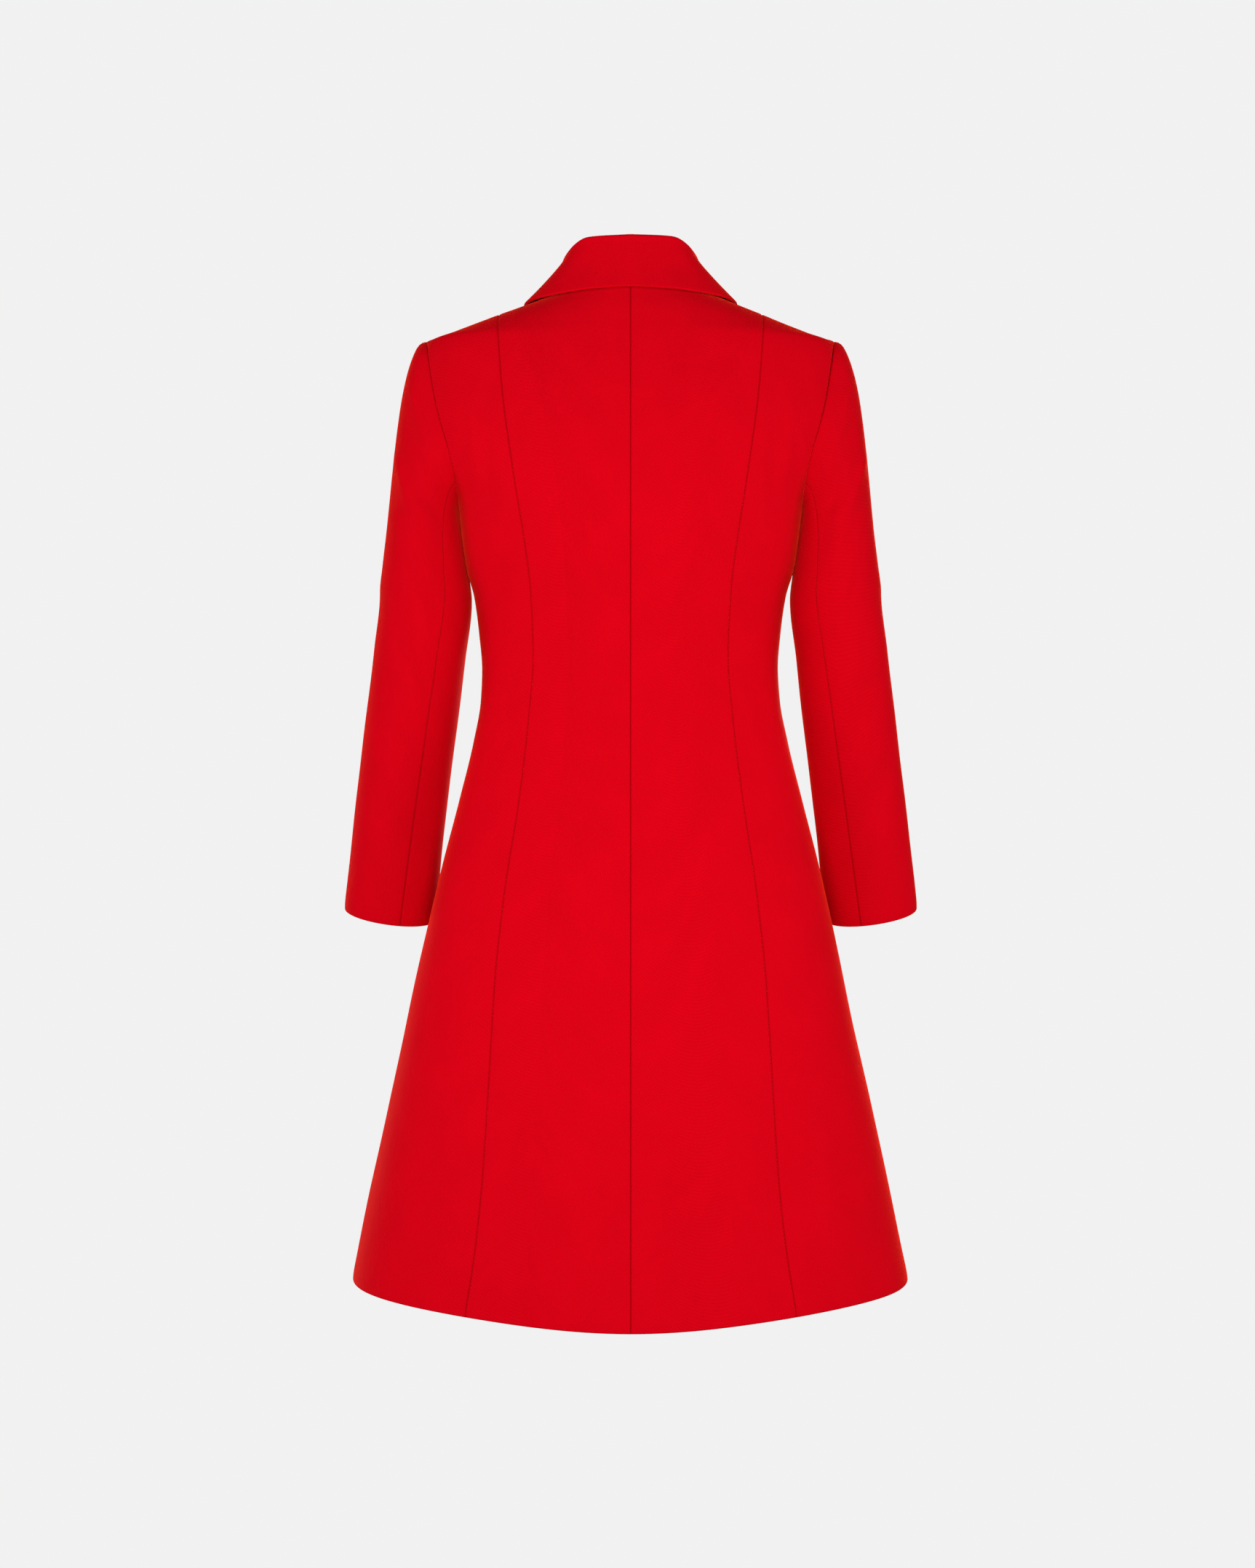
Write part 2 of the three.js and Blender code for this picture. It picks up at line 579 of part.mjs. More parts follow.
// The stand rises from the neckline to just under the fold, inside it
function standPoint(signedAngle, v, depth) {
  const { crest, neck, out } = crossCollar(signedAngle);
  const top = crest.clone().addScaledVector(out, -FOLD_HALF_WIDTH + WALL);
  top.z -= FOLD_HALF_WIDTH + STAND_SEAM_DROP;
  const p = neck.clone().lerp(top, v);
  p.z += SEAM_GAP * (1 - v);
  return p.addScaledVector(out, -depth);
}

// The fall starts inside, above the stand, turns over the crest and lies down on the body
function fallPoint(signedAngle, v, depth) {
  const { crest, rim, out, hollow } = crossCollar(signedAngle);
  const radius = FOLD_HALF_WIDTH - depth;
  if (v < FOLD_END) {
    const turn = Math.PI * (1 - clamp((v - FOLD_START) / (FOLD_END - FOLD_START), 0, 1));
    const low = STAND_SEAM_DROP * Math.max(0, 1 - v / FOLD_START);
    const p = crest.clone().addScaledVector(out, radius * Math.cos(turn));
    p.z += radius * Math.sin(turn) - FOLD_HALF_WIDTH - low;
    return p;
  }
  const t = (v - FOLD_END) / (1 - FOLD_END);
  const start = crest.clone().addScaledVector(out, FOLD_HALF_WIDTH);
  start.z -= FOLD_HALF_WIDTH;
  const p = start.lerp(rim, t);
  p.addScaledVector(out, -hollow * Math.sin(Math.PI * t));
  const lean = out.clone().multiplyScalar(FALL_FACING.out);
  lean.z = mix(FALL_FACING.up_at_top, FALL_FACING.up_at_edge, t);
  return p.addScaledVector(lean.normalize(), -depth);
}

function collar() {
  const group = new THREE.Group();
  const sweep = (rows, point, depth) => rows.map((v) => collarAngles.map((a) => point(a, v, depth)));
  const standRows = Array.from({ length: STAND_ROWS + 1 }, (_, i) => i / STAND_ROWS);
  const stand = [0, WALL].map((depth) => drawIn(sweep(standRows, standPoint, depth)));
  addPiece(group, "collar_stand", wallMesh(...stand), CLOTH);
  const turnRow = (_, i) => mix(FOLD_START, FOLD_END, i / FOLD_ROWS);
  const fallRow = (_, i) => mix(FOLD_END, 1, (i + 1) / FALL_ROWS);
  const turnRows = Array.from({ length: FOLD_ROWS + 1 }, turnRow);
  const fallRows = Array.from({ length: FALL_ROWS }, fallRow);
  const rows = [0, ...turnRows, ...fallRows];
  const fall = [0, WALL].map((depth) => drawIn(sweep(rows, fallPoint, depth)));
  addPiece(group, "collar_fall", wallMesh(...fall), CLOTH);
  return group;
}

function buttonGeometry() {
  const r = BUTTON_RADIUS;
  const h = BUTTON_THICKNESS;
  const profile = [
    [0, 0],
    [r - BUTTON_RIM, 0],
    [r, BUTTON_RIM],
    [r, h - BUTTON_RIM],
    [r - BUTTON_RIM, h],
    [r - 3 * BUTTON_RIM, h],
    [r - 4 * BUTTON_RIM, h - BUTTON_RIM],
    [0, h - BUTTON_RIM],
  ].map(([x, y]) => new THREE.Vector2(x, y));
  const turnedDisc = new THREE.LatheGeometry(profile, BUTTON_SIDES);
  turnedDisc.deleteAttribute("normal");
  turnedDisc.deleteAttribute("uv");
  const closed = mergeVertices(turnedDisc, 1e-4);
  closed.computeVertexNormals();
  return closed;
}

// The upper front's face along the centre front, which runs straight between its grid rows
const faceRows = rowSteps.map((t) => {
  const z = t > 1 ? lowerRow(t, 180) : upperRow.centre_front(t);
  return bodyPoint(180, z).addScaledVector(bodyNormal(180, z), OVERLAP_RISE);
});

function frontFace(z) {
  const k = faceRows.findIndex((p) => p.z <= z);
  const [above, below] = [faceRows[k - 1], faceRows[k]];
  return above.clone().lerp(below, (above.z - z) / (above.z - below.z));
}

function buttons() {
  const group = new THREE.Group();
  for (let k = 0; k < BUTTON_COUNT; k += 1) {
    const z = TOP_BUTTON_Z - k * BUTTON_SPACING;
    const top = frontFace(z + BUTTON_RADIUS);
    const bottom = frontFace(z - BUTTON_RADIUS);
    const normal = new THREE.Vector3(0, bottom.z - top.z, top.y - bottom.y).normalize();
    const seat = top.clone().lerp(bottom, 0.5);
    const swell = Math.max(0, frontFace(z).sub(seat).dot(normal));
    addPiece(group, `button_${k + 1}`, buttonGeometry(), BUTTON_FINISH);
    const button = group.children[k];
    button.position.copy(seat.addScaledVector(normal, swell + SEAM_GAP));
    button.quaternion.setFromUnitVectors(new THREE.Vector3(0, 1, 0), normal);
  }
  return group;
}

const coat = new THREE.Group();
coat.add(bodyPanels(), fronts(), sleevePanels(), collar(), buttons());

export default coat;
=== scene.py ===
# %% [markdown]
# A knee-length red wool coat, seen from behind. The coat is filled out as if somebody wore it, and
# nobody is in it. Its solids come from the imported frame, and this lesson dresses them: each cut piece
# of cloth gets a fine thin shell on the same form, with sunk seams, turned edges, a few creases and a
# brushed twill material.

# %% Load the frame
import math

import bmesh
import bpy
import numpy as np
from mathutils import Matrix, Vector
from mathutils.bvhtree import BVHTree


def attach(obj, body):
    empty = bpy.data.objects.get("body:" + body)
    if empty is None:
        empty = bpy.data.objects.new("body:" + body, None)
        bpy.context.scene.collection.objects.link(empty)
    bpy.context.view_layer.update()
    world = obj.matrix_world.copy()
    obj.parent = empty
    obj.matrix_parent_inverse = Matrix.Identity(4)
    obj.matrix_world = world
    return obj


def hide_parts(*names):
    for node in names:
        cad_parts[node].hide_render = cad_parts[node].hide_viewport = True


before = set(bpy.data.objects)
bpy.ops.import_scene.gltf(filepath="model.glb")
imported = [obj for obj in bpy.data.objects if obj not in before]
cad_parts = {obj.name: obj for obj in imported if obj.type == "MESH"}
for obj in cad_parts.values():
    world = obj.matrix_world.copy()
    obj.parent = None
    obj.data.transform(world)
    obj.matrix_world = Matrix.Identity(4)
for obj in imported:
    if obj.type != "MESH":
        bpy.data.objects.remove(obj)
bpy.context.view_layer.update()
MM = 0.001  # the tables below are in millimetres, as on a pattern, and Blender works in metres
print("nodes in the frame:", len(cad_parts))

# %% [markdown]
# The camera comes first, so that every later choice can be judged through it.
# The photograph shows the whole back with upright sides and no view onto the shoulders, so the camera
# is level and stands 2.4 m behind the coat, at mid height. The lens follows from how much of the coat's
# own height the picture takes in.

# %% Place the camera
PHOTO_HEIGHT = 2156  # pixels
PIXEL = 0.72 * MM  # one pixel of the photograph, on the plane through the shoulders
CAMERA = Vector((0.0029, 2.4, -0.482))
SENSOR = 36  # millimetres on the long side of the picture


def new_object(name, data):
    made = bpy.data.objects.new(name, data)
    bpy.context.scene.collection.objects.link(made)
    return made


camera_data = bpy.data.cameras.new("camera")
camera_data.sensor_width = SENSOR
camera_data.lens = SENSOR * CAMERA.y / (PHOTO_HEIGHT * PIXEL)
camera = new_object("camera", camera_data)
camera.location = CAMERA
camera.rotation_euler = (math.radians(90), 0, math.radians(180))
bpy.context.scene.camera = camera
print("lens:", round(camera_data.lens, 2), "mm")

# %% [markdown]
# A garment's form is written down as a few level sections and seam lines, as a pattern maker would.
# Between the rows of such a table a smooth curve is needed that never swings past its rows, or the
# cloth would bulge between them. This helper makes one. It works on whole arrays of heights at once,
# which keeps thousands of points fast in plain Python.

# %% Smooth curves through table rows
def mix(a, b, t):
    return a + (b - a) * t


def smooth(t):
    t = np.clip(t, 0, 1)
    return t * t * (3 - 2 * t)


def unit(vectors):
    return vectors / np.linalg.norm(vectors, axis=-1, keepdims=True)


def curve(places, values):
    order = np.argsort(places)
    x = np.asarray(places, float)[order]
    y = np.asarray(values, float)[order]
    rate = np.diff(y) / np.diff(x)
    agree = rate[:-1] * rate[1:] > 0
    both = np.where(agree, rate[:-1] + rate[1:], 1)
    middle = np.where(agree, 2 * rate[:-1] * rate[1:] / both, 0)
    slope = np.concatenate([rate[:1], middle, rate[-1:]])

    def at(place):
        i = np.clip(np.searchsorted(x, place) - 1, 0, len(x) - 2)
        span = x[i + 1] - x[i]
        t = np.clip((place - x[i]) / span, 0, 1)
        bend = t * (1 - t) * span * ((1 - t) * slope[i] - t * slope[i + 1])
        before = slope[0] * np.minimum(place - x[0], 0)
        after = slope[-1] * np.maximum(place - x[-1], 0)
        return mix(y[i], y[i + 1], smooth(t)) + bend + before + after

    return at


def curves(rows):
    columns = np.array(rows, float).T
    return [curve(columns[0], column) for column in columns[1:]]


# %% [markdown]
# The body of the coat is a stack of level ovals. Each row gives the half width, how deep the oval is
# towards the back and towards the front, and how square it is. A true ellipse has squareness 2. These
# are the sizes that the solids have, so the fine cloth lies where the frame says.
# The alternative would be to sculpt or simulate the form, but the cut of a coat is exact work, and the
# photograph shows firm cloth that holds the shape it was pressed to.

# %% The body's form
SHOULDER_SLOPE = 0.386
NECK_POINT_X = 76.3
NUDGE = 0.5  # degrees and millimetres to the neighbours from which a slope is measured


def on_shoulder(z):
    return NECK_POINT_X - z / SHOULDER_SLOPE


BODY = [  # height, half width, back depth, front depth, squareness
    (4, on_shoulder(4), 67, 36, 2.0),
    (0, on_shoulder(0), 70, 42, 2.0),
    (-20, on_shoulder(-20), 80, 56, 2.05),
    (-40, on_shoulder(-40), 86, 67, 2.15),
    (-48, 200, 88.5, 71, 2.2),
    (-71, 207, 94.5, 80, 2.25),
    (-110, 208, 104, 98, 2.3),
    (-148, 200, 111, 115, 2.35),
    (-189, 177, 114, 129, 2.4),
    (-210, 168.5, 114, 134, 2.4),
    (-248, 163.8, 111, 138, 2.35),
    (-272, 160.2, 107.5, 136.5, 2.27),
    (-296, 153.7, 103, 132, 2.15),
    (-335, 148, 95, 117, 2.05),
    (-368, 145.3, 91, 108, 2.0),
    (-400, 146.8, 92, 107, 2.03),
    (-440, 154.2, 98, 111, 2.15),
    (-498, 169.6, 112, 121, 2.3),
    (-560, 185.5, 126, 132, 2.35),
    (-656, 207, 145, 149, 2.3),
    (-771, 232, 167, 168, 2.2),
    (-887, 257, 189, 187, 2.12),
    (-977, 276, 206, 202, 2.02),
]
half_width, back_depth, front_depth, squareness = curves(BODY)


def body_point(angle, z):
    """The angle is 0 at the centre back, 90 at the side and 180 at the centre front."""
    across = np.sin(np.radians(angle))
    back = np.cos(np.radians(angle))
    depth = np.where(back >= 0, back_depth(z), front_depth(z))
    n = squareness(z)
    reach = (np.abs(across) / half_width(z)) ** n + (np.abs(back) / depth) ** n
    radius = reach ** (-1 / n)
    return np.stack([radius * across, radius * back, z + 0 * radius], -1)


def body_normal(angle, z):
    around = body_point(angle + NUDGE, z) - body_point(angle - NUDGE, z)
    down = body_point(angle, z - NUDGE) - body_point(angle, z + NUDGE)
    return unit(np.cross(around, down))


def angle_at(x, z, side):
    n = squareness(z)
    rest = np.clip(1 - (x / half_width(z)) ** n, 0, 1) ** (1 / n)
    depth = back_depth(z) if side == "back" else -front_depth(z)
    return np.degrees(np.arctan2(x, depth * rest))


print("waist:", round(2 * float(half_width(-368))), "mm wide")

# %% [markdown]
# Seams divide the body into pieces. The princess seams run from the middle of the shoulder down to the
# hem, close in at the waist, and the armhole seam is where the sleeve is set in. Each is a line given by
# its distance from the centre at every height. A line answers one question: at a share t of its length,
# where is it? 0 is its top, 1 the level of the underarm and 2 the hem.

# %% Seam lines
PRINCESS_SEAMS = [  # height, distance from the centre on the back and on the front
    (-20, 128.1, 128.1),
    (-99, 122.6, 117),
    (-189, 110.9, 100),
    (-250, 101.5, 91.5),
    (-298, 96, 87),
    (-360, 93.8, 84),
    (-417, 97.8, 88),
    (-497, 106.5, 97),
    (-590, 120, 109),
    (-650, 126, 116),
    (-712, 130, 121),
    (-846, 138, 131),
    (-920, 145, 137),
    (-977, 153, 142),
]
ARMHOLE = [  # height, distance from the centre on the back and on the front
    (-48, 200, 200),
    (-54, 199.2, 197.5),
    (-71, 196.4, 190),
    (-110, 189, 180),
    (-135, 182.5, 175.5),
    (-160, 175, 171.5),
    (-189, 169.6, 169),
    (-210, 168.5, 168.5),
]
NAPE_Z = 2
FRONT_NECK_Z = -68
PRINCESS_TOP_Z = -20
SHOULDER_END_Z = -48
UNDERARM_Z = -210
LEVEL_Z = -216  # where the rows of the grid begin to run level
HEM_Z = -969
HEM_DIP = {"back": 11, "front": 8}
FRONT_NECK_BEND = 1.25
BUTTON_EXTENSION = 22
CROWDED = {"princess": 1.8, "centre": 1.2}  # a seam's rows crowd at its top, and 1 would spread them
HEM_ROUNDS = 4  # the hem's height depends on the seam's angle there, so both are found in rounds

seam_x = dict(zip(("back", "front"), curves(PRINCESS_SEAMS)))
armhole_x = dict(zip(("back", "front"), curves(ARMHOLE)))


def hem_height(angle):
    back = np.cos(np.radians(angle))
    return HEM_Z - np.where(back > 0, HEM_DIP["back"], HEM_DIP["front"]) * back**4


def line(upper, level, angle_of):
    def at(t):
        z = np.where(t > 1, mix(level, HEM_Z, t - 1), upper(np.minimum(t, 1)))
        for _ in range(HEM_ROUNDS):
            angle = angle_of(z)
            z = np.where(t > 1, mix(level, hem_height(angle), t - 1), z)
        return angle, z

    return at


def princess_line(side):
    def upper(t):
        return mix(PRINCESS_TOP_Z, LEVEL_Z, t ** CROWDED["princess"])

    return line(upper, LEVEL_Z, lambda z: angle_at(seam_x[side](z), z, side))


def side_line(side):
    def upper(t):
        return mix(SHOULDER_END_Z, UNDERARM_Z, (1 - np.cos(np.pi * t)) / 2)

    def angle_of(z):
        x = np.where(z > UNDERARM_Z, armhole_x[side](z), half_width(z))
        return angle_at(x, z, side)

    return line(upper, UNDERARM_Z, angle_of)


centre_back_line = line(
    lambda t: mix(NAPE_Z, LEVEL_Z, t ** CROWDED["centre"]),
    LEVEL_Z,
    lambda z: 0 * z,
)
front_edge_line = line(
    lambda t: mix(FRONT_NECK_Z, LEVEL_Z, t),
    LEVEL_Z,
    lambda z: 360 - angle_at(BUTTON_EXTENSION, z, "front"),
)


def neck_height(angle):
    front = np.sin(np.radians(np.clip(angle - 90, 0, 90))) ** FRONT_NECK_BEND
    return np.where(angle <= 90, mix(NAPE_Z, 0, smooth(angle / 90)), FRONT_NECK_Z * front)


print("back princess seam at the hem:", round(float(seam_x["back"](HEM_Z))), "mm from the centre")

# %% [markdown]
# A panel is the cloth between two of those lines, under a top edge that follows the neckline and the
# shoulder. Each point is named by a share u across the panel and a share t down it, and the function
# turns the two into an angle and a height on the body.

# %% Panels between the seams
TOP_FADE = 1.6  # how fast the bend of the top edge dies away in the rows below it


def neck_and_shoulder(centre_angle, neck_share):
    def top(u):
        on_neck = u <= neck_share
        angle = np.where(on_neck, mix(centre_angle, 90, u / neck_share), 90)
        past = (u - neck_share) / (1 - neck_share)
        z = np.where(on_neck, neck_height(np.minimum(angle, 180)), mix(0, PRINCESS_TOP_Z, past))
        return angle, z

    return top


def shoulder_only(u):
    return 90 + 0 * u, mix(PRINCESS_TOP_Z, SHOULDER_END_Z, u)


def panel(inner, outer, top):
    inner_top, outer_top = inner(np.zeros(1)), outer(np.zeros(1))
    level = (inner(np.ones(1))[1], outer(np.ones(1))[1])

    def place(u, t):
        u, t = np.broadcast_arrays(u, t)
        fade = np.clip(1 - t, 0, 1) ** TOP_FADE
        start, end, rim = inner(t), outer(t), top(u)
        angle, z = (
            mix(start[k], end[k], u) + fade * (rim[k] - mix(inner_top[k], outer_top[k], u))
            for k in (0, 1)
        )
        lower = mix(mix(level[0], level[1], u), hem_height(angle), t - 1)
        return angle, np.where(t > 1, lower, z)

    return place


# %% [markdown]
# Blender shows cloth well only if the mesh is fine where the form bends sharply and calm elsewhere. So
# the grid is laid out by real length: its lines crowd within a few millimetres of each edge, where the
# cloth dips into a seam or rolls round a turned edge, and are evenly spaced in between.
# A subdivision surface on a coarse cage is the usual way, but it would round the seams away.

# %% Lay a grid out by real length
NEAR_SEAM = (0, 0.35, 0.75, 1.2, 1.9, 3, 5, 8, 11.5, 13.5)  # millimetres in from an edge
NEAR_HEM = (0, 0.4, 0.9, 1.5, 2.4, 4, 7, 12, 18, 28, 38, 40.5)
STEP = 5  # millimetres between the lines in the middle of a piece
EDGE_SHARE = 0.45  # the crowded lines of one edge take up at most this much of a piece
FINE_DOWN = 401  # lines of the fine grid on which lengths are measured
FINE_ACROSS = 91


def running_length(points, axis):
    steps = np.linalg.norm(np.diff(points, axis=axis), axis=-1)
    first = np.zeros_like(np.take(steps, [0], axis=axis))
    return np.concatenate([first, np.cumsum(steps, axis=axis)], axis=axis)


def stations(length, near, far, counts, corner=None):
    shrink = min(1, EDGE_SHARE * length / max(near[-1], far[-1]))
    start = np.array(near) * shrink
    end = length - np.array(far)[::-1] * shrink
    if corner is None:
        return np.concatenate([start, np.linspace(start[-1], end[0], sum(counts) + 2)[1:-1], end])
    before = np.linspace(start[-1], corner, counts[0] + 1)[1:]
    after = np.linspace(corner, end[0], counts[1] + 2)[1:-1]
    return np.concatenate([start, before, after, end])


def lay_out(surface, t_end, hem, corner):
    t = np.linspace(0, t_end, FINE_DOWN)
    u = np.linspace(0, 1, FINE_ACROSS)
    down = running_length(surface(u[None], t[:, None]), 0)
    count = (0, round(down[-1].max() / STEP))
    rows = [
        np.interp(stations(down[-1, j], NEAR_SEAM, hem, count), down[:, j], t)
        for j in range(len(u))
    ]
    row_t = np.stack(rows, 1)
    across = running_length(surface(u[None], row_t), 1)
    widest = across[:, -1].max() / STEP
    share = 0.5 if corner is None else corner
    counts = (round(widest * share), round(widest * (1 - share)))
    fine_u, fine_t = [], []
    for i in range(len(row_t)):
        bend = None if corner is None else np.interp(corner, u, across[i])
        at = stations(across[i, -1], NEAR_SEAM, NEAR_SEAM, counts, bend)
        fine_u.append(np.interp(at, across[i], u))
        fine_t.append(np.interp(fine_u[-1], u, row_t[i]))
    return np.array(fine_u), np.array(fine_t)


# %% [markdown]
# At a seam, two pieces are pressed flat and sink a little into the join, and the allowance under them
# lifts the cloth faintly on both sides. At a hem, cuff or front the cloth is turned in and its edge is
# round. Both are small offsets along the normal that depend only on the distance to the edge.
# Allowances and turned hems also make the inside thicker near the edges, in a low step.

# %% Seams and turned edges
CLOTH = 1.8  # thickness of one layer
PRESSED = 2.5  # with a seam allowance pressed open behind it
TURNED = 2.8  # at a hem, cuff, front or collar edge
SEAM_DIP = 0.7  # how far a seam sinks in, and how wide the dip is on each side
SEAM_WIDTH = 0.75
SEAM_SWELL = 0.22  # how far the allowance lifts the cloth, and how far from the seam
SWELL_REACH = 4.5
ALLOWANCE = 12.5
HEM_TURN = 39.5  # how deep the cloth is turned in at hem and cuff, and at front and collar edges
EDGE_TURN = 37.5
STEP_RUN = 1.5  # the inside thickens over this length
EDGE_ROUND = 0.95  # how much of a half circle the turned edge makes
HEM_ROLL = 0.8  # a hem curls in by this much
ROLL_REACH = 12


def edge_work(gaps, edges):
    dip = np.zeros_like(gaps["top"])
    under = np.zeros_like(dip)
    swell = np.zeros_like(dip)
    roll = np.zeros_like(dip)
    seam = np.zeros_like(dip)
    thick = np.full_like(dip, CLOTH)
    for edge, kind in edges.items():
        gap = gaps[edge]
        if kind == "seam":
            dip = np.maximum(dip, SEAM_DIP * np.exp(-((gap / SEAM_WIDTH) ** 2)))
            swell += SEAM_SWELL * gap / SWELL_REACH * np.exp(1 - gap / SWELL_REACH)
            seam = np.maximum(seam, np.exp(-((gap / SEAM_WIDTH) ** 2)))
            thick = np.maximum(thick, mix(PRESSED, CLOTH, smooth((gap - ALLOWANCE) / STEP_RUN + 0.5)))
            continue
        depth = HEM_TURN if kind == "hem" else EDGE_TURN
        thick = np.maximum(thick, mix(TURNED, CLOTH, smooth((gap - depth) / STEP_RUN + 0.5)))
        side = EDGE_ROUND * np.clip(1 - 2 * gap / TURNED, 0, 1)
        rounding = TURNED / 2 * (1 - np.sqrt(1 - side**2))
        dip = np.maximum(dip, rounding)
        under = np.maximum(under, rounding)
        if kind == "hem":
            roll += HEM_ROLL * np.clip(1 - gap / ROLL_REACH, 0, 1) ** 2
    face = swell - roll - dip
    back = swell - roll - thick + under
    return face, back, seam


# %% [markdown]
# Creases are what makes cloth look worn in rather than moulded. The photograph shows few: short slanting
# folds where the upper sleeve hangs from its head, a soft dimple over the armpit, a faint upright fold
# beside the shoulder blade, and a shallow hollow along the lower princess seams. Each is placed one by
# one as a path with its own width and height. Heights below zero are troughs. The front, which the
# photograph hides, gets similar ones where a bent arm and a full chest would make them.
# A cloth simulation could find folds by itself, but not these ones.

# %% Creases placed one by one
CREASES = [  # part, facing (1 back, -1 front), path as (distance from centre, height), width, height
    ("sleeve", 1, [(214, -92), (210, -106), (206, -122)], 4.5, 2.3),
    ("sleeve", 1, [(222, -122), (214, -142), (203, -166)], 8, -2.7),
    ("sleeve", 1, [(230, -158), (224, -178), (217, -202)], 4.5, 2.5),
    ("sleeve", 1, [(217, -158), (208, -172), (196, -190)], 8, 1.6),
    ("sleeve", 1, [(208, -200), (196, -210), (184, -219)], 6.5, -3.4),
    ("sleeve", 1, [(234, -200), (224, -218), (210, -236)], 8, -2.0),
    ("sleeve", 1, [(240, -380), (228, -392), (214, -398)], 11, -1.8),
    ("sleeve", 1, [(262, -462), (252, -480)], 13, -1.8),
    ("sleeve", 1, [(240, -520), (252, -548)], 14, 1.3),
    ("sleeve", -1, [(216, -90), (211, -108), (204, -128)], 5.5, 2.0),
    ("sleeve", -1, [(226, -140), (214, -165), (200, -188)], 8, -2.5),
    ("sleeve", -1, [(230, -176), (220, -196), (206, -216)], 6, 1.8),
    ("sleeve", -1, [(200, -372), (216, -380), (229, -379)], 6, -1.6),
    ("sleeve", -1, [(196, -396), (216, -408), (236, -409)], 7.5, -2.8),
    ("sleeve", -1, [(204, -424), (220, -434), (233, -436)], 6.5, -1.8),
    ("sleeve", -1, [(206, -410), (220, -419), (234, -421)], 6, 1.3),
    ("body", 1, [(140, -104), (139, -140), (138, -172), (135, -205)], 7, -2.2),
    ("body", 1, [(153, -120), (151, -155), (147, -195)], 6, 1.2),
    ("body", 1, [(130, -690), (137, -800), (141, -880), (147, -940)], 10, -2.2),
    ("body", 1, [(150, -640), (164, -780), (176, -930)], 24, 2.2),
    ("body", 1, [(60, -700), (66, -830), (72, -950)], 34, 1.6),
    ("body", -1, [(156, -112), (152, -150), (149, -186)], 7, -2.0),
    ("body", -1, [(118, -236), (124, -262), (126, -290)], 12, -1.4),
    ("body", -1, [(121, -690), (130, -810), (139, -930)], 10, -2.0),
    ("body", -1, [(150, -660), (163, -800), (174, -940)], 24, 2.1),
    ("collar", 1, [(38, 30), (49, 18), (57, 4)], 11, -1.6),
    ("collar", 1, [(-12, 22), (12, 24)], 16, 0.8),
]
CREASE_END = 0.35  # a crease has this share of its height left at its ends
TURN_AWAY = 2.5  # how fast a crease fades where the cloth turns away from its side of the coat


def distance_to_path(x, z, path):
    """The distance to the path, and the share of its length at the nearest place."""
    nearest = np.full(x.shape, np.inf)
    share = np.zeros_like(nearest)
    for k, ((x0, z0), (x1, z1)) in enumerate(zip(path, path[1:])):
        length = math.hypot(x1 - x0, z1 - z0)
        s = np.clip(((x - x0) * (x1 - x0) + (z - z0) * (z1 - z0)) / length**2, 0, 1)
        gap = np.hypot(x - mix(x0, x1, s), z - mix(z0, z1, s))
        share = np.where(gap < nearest, (k + s) / (len(path) - 1), share)
        nearest = np.minimum(gap, nearest)
    return nearest, share


def creases(points, normals, part):
    relief = np.zeros(points.shape[:-1])
    for of, facing, path, width, height in CREASES:
        if of != part:
            continue
        gap, share = distance_to_path(np.abs(points[..., 0]), points[..., 2], path)
        taper = mix(CREASE_END, 1, np.sin(np.pi * np.clip(share, 0, 1)))
        turned = smooth(normals[..., 1] * facing * TURN_AWAY)
        relief += height * taper * turned * np.exp(-((gap / width) ** 2))
    return relief


print("creases on each half of the coat:", len(CREASES))

# %% [markdown]
# Three wider swells lie under the creases. Below the armhole the sleeve lies against the side of the
# coat, and both swell a little to meet, as in the photograph, where no light shows between them. At the
# top of the armhole, wadding inside the shoulder lifts body and sleeve alike. And no cloth is perfectly
# even, so a few long waves in all directions take the machined look off it.

# %% Swells of the cloth
PRESS = {"body": 1.0, "sleeve": 1.1}  # how far each of the two swells
PRESS_Z = -244
PRESS_REACH = 44
PRESS_FACING = 0.6  # it begins where the cloth faces the other this much, and is full a little further
PRESS_RISE = 4
PAD_PLACE = (200, -48)  # distance from the centre and height
PAD_LIFT = 2.8
PAD_REACH = 12
LIFE_SEED = 11
LIFE_WAVES = 7
LIFE_LENGTHS = (70, 210)
LIFE_SLOPE = 0.0015  # height of a wave for each millimetre of its length


def pressed_together(points, normals, part):
    facing = normals[..., 0] * np.sign(points[..., 0])
    inward = facing if part == "body" else -facing
    height = np.exp(-(((points[..., 2] - PRESS_Z) / PRESS_REACH) ** 4))
    return PRESS.get(part, 0) * smooth((inward - PRESS_FACING) * PRESS_RISE) * height


def padded_shoulder(points, part):
    aside = [np.abs(points[..., 0]) - PAD_PLACE[0], points[..., 1], points[..., 2] - PAD_PLACE[1]]
    lift = PAD_LIFT * np.exp(-sum(a * a for a in aside) / PAD_REACH**2)
    return lift if part in PRESS else 0 * lift


def faint_unevenness(points):
    random = np.random.default_rng(LIFE_SEED)
    relief = np.zeros(points.shape[:-1])
    for _ in range(LIFE_WAVES):
        direction = unit(random.normal(size=3))
        wavelength = random.uniform(*LIFE_LENGTHS)
        phase = random.uniform(0, 2 * np.pi)
        relief += wavelength * LIFE_SLOPE * np.sin(points @ direction * 2 * np.pi / wavelength + phase)
    return relief


print("long waves:", LIFE_WAVES, "from", LIFE_LENGTHS[0], "to", LIFE_LENGTHS[1], "mm")

# %% [markdown]
# Shader node groups hold the effects that several materials share, so each is built once. The small
# helpers below make nodes with their links and values in one call, which keeps each recipe readable.

